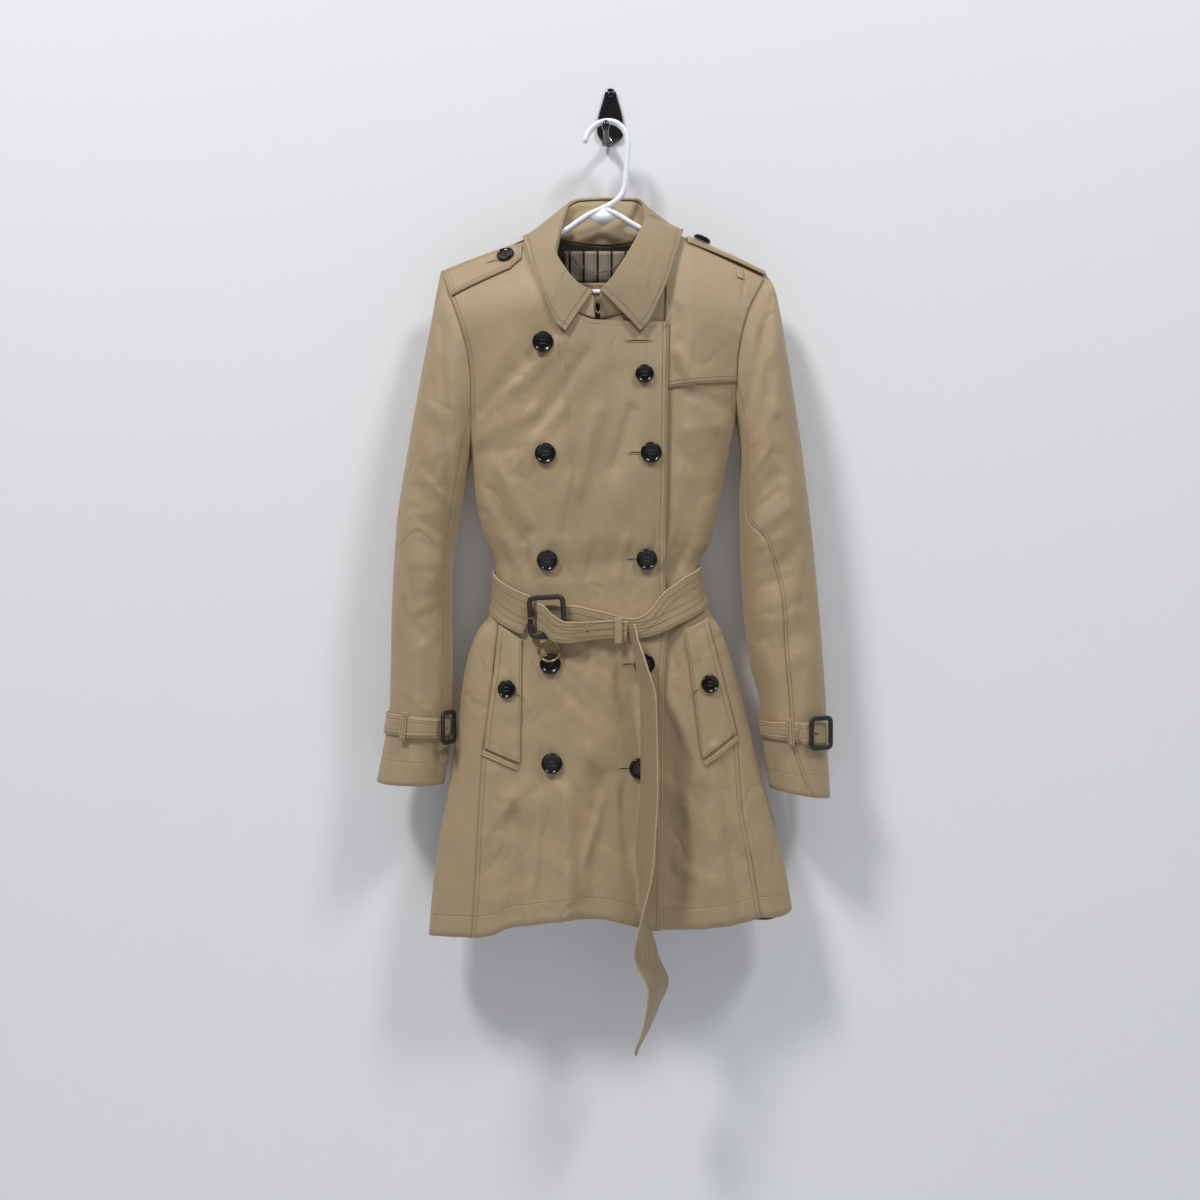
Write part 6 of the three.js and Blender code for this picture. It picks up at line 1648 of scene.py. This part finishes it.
def smooth_path(points, count):
    """A centripetal spline through the points, in equal steps."""
    points = np.array(points, float)
    padded = np.vstack([2 * points[0] - points[1], points, 2 * points[-1] - points[-2]])
    made = []
    for a, b, c, d in zip(padded, padded[1:], padded[2:], padded[3:]):
        gaps = [max(np.linalg.norm(q - p), 1e-6) ** 0.5 for p, q in ((a, b), (b, c), (c, d))]
        t1, t2, t3 = np.cumsum(gaps)
        for t in np.linspace(t1, t2, 12, endpoint=False):
            a1 = (t1 - t) / t1 * a + t / t1 * b
            a2 = ((t2 - t) * b + (t - t1) * c) / (t2 - t1)
            a3 = ((t3 - t) * c + (t - t2) * d) / (t3 - t2)
            b1, b2 = ((t2 - t) * a1 + t * a2) / t2, ((t3 - t) * a2 + (t - t1) * a3) / (t3 - t1)
            made.append(((t2 - t) * b1 + (t - t1) * b2) / (t2 - t1))
    made = np.array(made + [points[-1]])
    run = np.concatenate([[0], np.cumsum(np.linalg.norm(np.diff(made, axis=0), axis=1))])
    at = np.linspace(0, run[-1], count)
    return np.stack([np.interp(at, run, made[:, k]) for k in range(3)], -1)


def tube(points, radius, count, sides=18, domed=True):
    path = smooth_path(points, count)
    tangent = unit(np.gradient(path, axis=0))
    side = unit(np.cross(tangent, [0, 1, 0.001]))
    up = np.cross(side, tangent)
    vertices, faces = [], []
    rings = [(path[0] - tangent[0] * radius * 0.6, 0.45, 0)] if domed else []
    rings += [(p, 1.0, i) for i, p in enumerate(path)]
    rings += [(path[-1] + tangent[-1] * radius * 0.6, 0.45, len(path) - 1)] if domed else []
    for p, size, i in rings:
        for k in range(sides):
            a = 2 * math.pi * k / sides
            vertices.append(p + (side[i] * math.cos(a) + up[i] * math.sin(a)) * radius * size)
    for r in range(len(rings) - 1):
        for k in range(sides):
            m = (k + 1) % sides
            faces.append([r * sides + k, r * sides + m, (r + 1) * sides + m, (r + 1) * sides + k])
    faces.append(list(range(sides))[::-1])
    faces.append([(len(rings) - 1) * sides + k for k in range(sides)])
    vertices = np.array(vertices)
    if signed_volume(vertices, faces) < 0:
        faces = [f[::-1] for f in faces]
    return vertices, faces


web = [(-10, -134), (-29, -145), (-10, -157), (9, -145)]
web_vertices = np.array([(x, y, z) for y in (ARM_Y - 1.5, ARM_Y + 1.5) for x, z in web])
web_faces = [[0, 1, 2, 3], [7, 6, 5, 4]] + [[k, k + 4, (k + 1) % 4 + 4, (k + 1) % 4] for k in range(4)]
if signed_volume(web_vertices, web_faces) < 0:
    web_faces = [f[::-1] for f in web_faces]
halves = [tube(LEFT_HALF, TUBE, 190), tube(RIGHT_HALF, TUBE, 110, domed=False)]
vertices, faces = gathered([*halves, (web_vertices, web_faces)])
adopt(new_mesh("hanger_tube", vertices * MM, faces, plastic), ["hanger"])


# %% Cast wall hook and its screw
def softened(node, name, look, voxel, passes):
    """A merged, finely remeshed and smoothed copy of a solid."""
    copy = keep(bpy.data.objects.new(name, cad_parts[node].data.copy()))
    merge = copy.modifiers.new("merge", "WELD")
    merge.merge_threshold = 1e-6
    remesh = copy.modifiers.new("remesh", "REMESH")
    remesh.mode, remesh.voxel_size, remesh.use_smooth_shade = "VOXEL", voxel, True
    ease = copy.modifiers.new("ease", "SMOOTH")
    ease.factor, ease.iterations = 0.5, passes
    copy.data = settled(copy, look)
    return copy


hook = softened("wall_hook", "wall_hook_casting", enamel, 0.0008, 8)
adopt(hook, ["wall_hook"])
vertices, faces = turned([(0, 0), (4.2, 0), (4.5, 0.4), (4.1, 1.3), (2.9, 1.9), (1.4, 2.1), (0, 2.15)], 36)
screw = placed(vertices, (0.5, -4.9, 27), frame_for(TO_ROOM))
adopt(new_mesh("hook_screw_head", screw * MM, faces, enamel), ["hook_screw"])
print("hook faces:", len(hook.data.polygons))

# %% [markdown]
# ## Buttonholes
# The right-hand column of buttons closes the coat, so a worked buttonhole shows beside each one, and one more lies
# open at the throat. An epaulette and the pocket flaps have smaller ones, and the straps and the belt have round
# eyelets. Each is a ring of close thread round a dark slit or dot of painted shade, the shade inside the hole. A real
# hole could be cut in the grid, but it would break its rows for a gap that nothing shows through.

# %% Buttonholes
HOLES = [(34, -315, 17, 0.0), (29, -453, 8, 0.05), (24, -584, 8, 0.05), (21, -714, 8, 0.05), (16, -842, 8, 0.05)]
SMALL_HOLES = [("epaulette_left_cloth", -151, -207, 7, 0.3), ("pocket_flap_left_cloth", -115, -751, 5, -0.3),
               ("pocket_flap_right_cloth", 104, -748, 6, 0.6)]
EYELETS = [("cuff_strap_left_cloth", -232, -796), ("cuff_tab_left_cloth", -205, -794),
           ("cuff_strap_right_cloth", 236, -801), ("belt_tongue_cloth", -30, -673)]
SLIT_PROFILE = [(0, 0), (1, 0.05), (0.8, 0.3), (0, 0.32)]
EYELET_PROFILE = [(0, 0), (1.6, 0.05), (1.3, 0.25), (0, 0.3)]
rings, slit_shades = [], []


def worked_hole(at, axes, path, gauge, slit, uneven=0.0):
    """An oval of close thread round a dark slit of painted shade, both set on the cloth."""
    v, f = swept_ring(path, gauge, 8, 1.0)
    v[:, :2] *= 1 + uneven * np.sin(np.arange(len(v)) // 8 * 2.6)[:, None]
    rings.append((placed(v, at, axes), f))
    slit_shades.append((placed(slit[0], at, axes), slit[1]))


def slit_of(half):
    v, f = turned(SLIT_PROFILE, 30)
    return v * [half - 0.6, 0.7, 1], f


def on_piece(piece, x, z):
    """The point of a piece's outer face that a viewer sees at x, z, and the way it faces."""
    held = PIECES[piece]
    outer, n = held["outer"].reshape(-1, 3), held["n"].reshape(-1, 3)
    hidden = 1e4 * (n[:, 1] > 0)
    best = int(np.argmin((outer[:, 0] - x) ** 2 + (outer[:, 2] - z) ** 2 + hidden))
    return outer[best], n[best]


for x, z, half, tilt in HOLES:
    here_z = np.array([z, z, z + 1.0])
    here = body(front_turn(np.array([x, x + 1.0, x]), here_z), here_z)
    normal = np.cross(here[2] - here[0], here[1] - here[0])
    normal = normal if normal[1] < 0 else -normal
    worked_hole(here[0] + unit(normal) * 0.25, frame_for(normal, tilt), oval_path(half, 1.5, 60), (0.75, 0.42),
                slit_of(half), uneven=0.012)
for piece, x, z, half, tilt in SMALL_HOLES:
    at, normal = on_piece(piece, x, z)
    worked_hole(at + normal * 0.2, frame_for(normal, tilt), oval_path(half, 1.3, 48), (0.7, 0.4), slit_of(half))
for piece, x, z in EYELETS:
    at, normal = on_piece(piece, x, z)
    worked_hole(at + normal * 0.1, frame_for(normal), oval_path(2.0, 2.0, 28), (0.6, 0.4),
                turned(EYELET_PROFILE, 20))
# The slits and eyelet dots are painted shade: dark discs set where a hole would lie in shade.
for name, shapes, look in (("buttonhole_threads", rings, honey_thread), ("buttonhole_slit_shades", slit_shades, dark_thread_and_hole_shade)):
    vertices, faces = gathered(shapes)
    adopt(new_mesh(name, vertices * MM, faces, look), [])
print("worked holes:", len(rings))

# %% [markdown]
# ## Measure and finish
# The box of the dressed coat is written beside the box of the solids, so that the two can be compared, and the
# sheets of cloth that were cut are printed.

# %% Sizes and finish
DRESSED_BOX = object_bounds()
grown_by = [abs(b[k] - a[k]) / MM for a, b in zip(CAD_BOX, DRESSED_BOX) for k in range(3)]
print("box grows by, mm:", [round(g, 1) for g in grown_by])
print("sheets cut, mm:", CUTS)
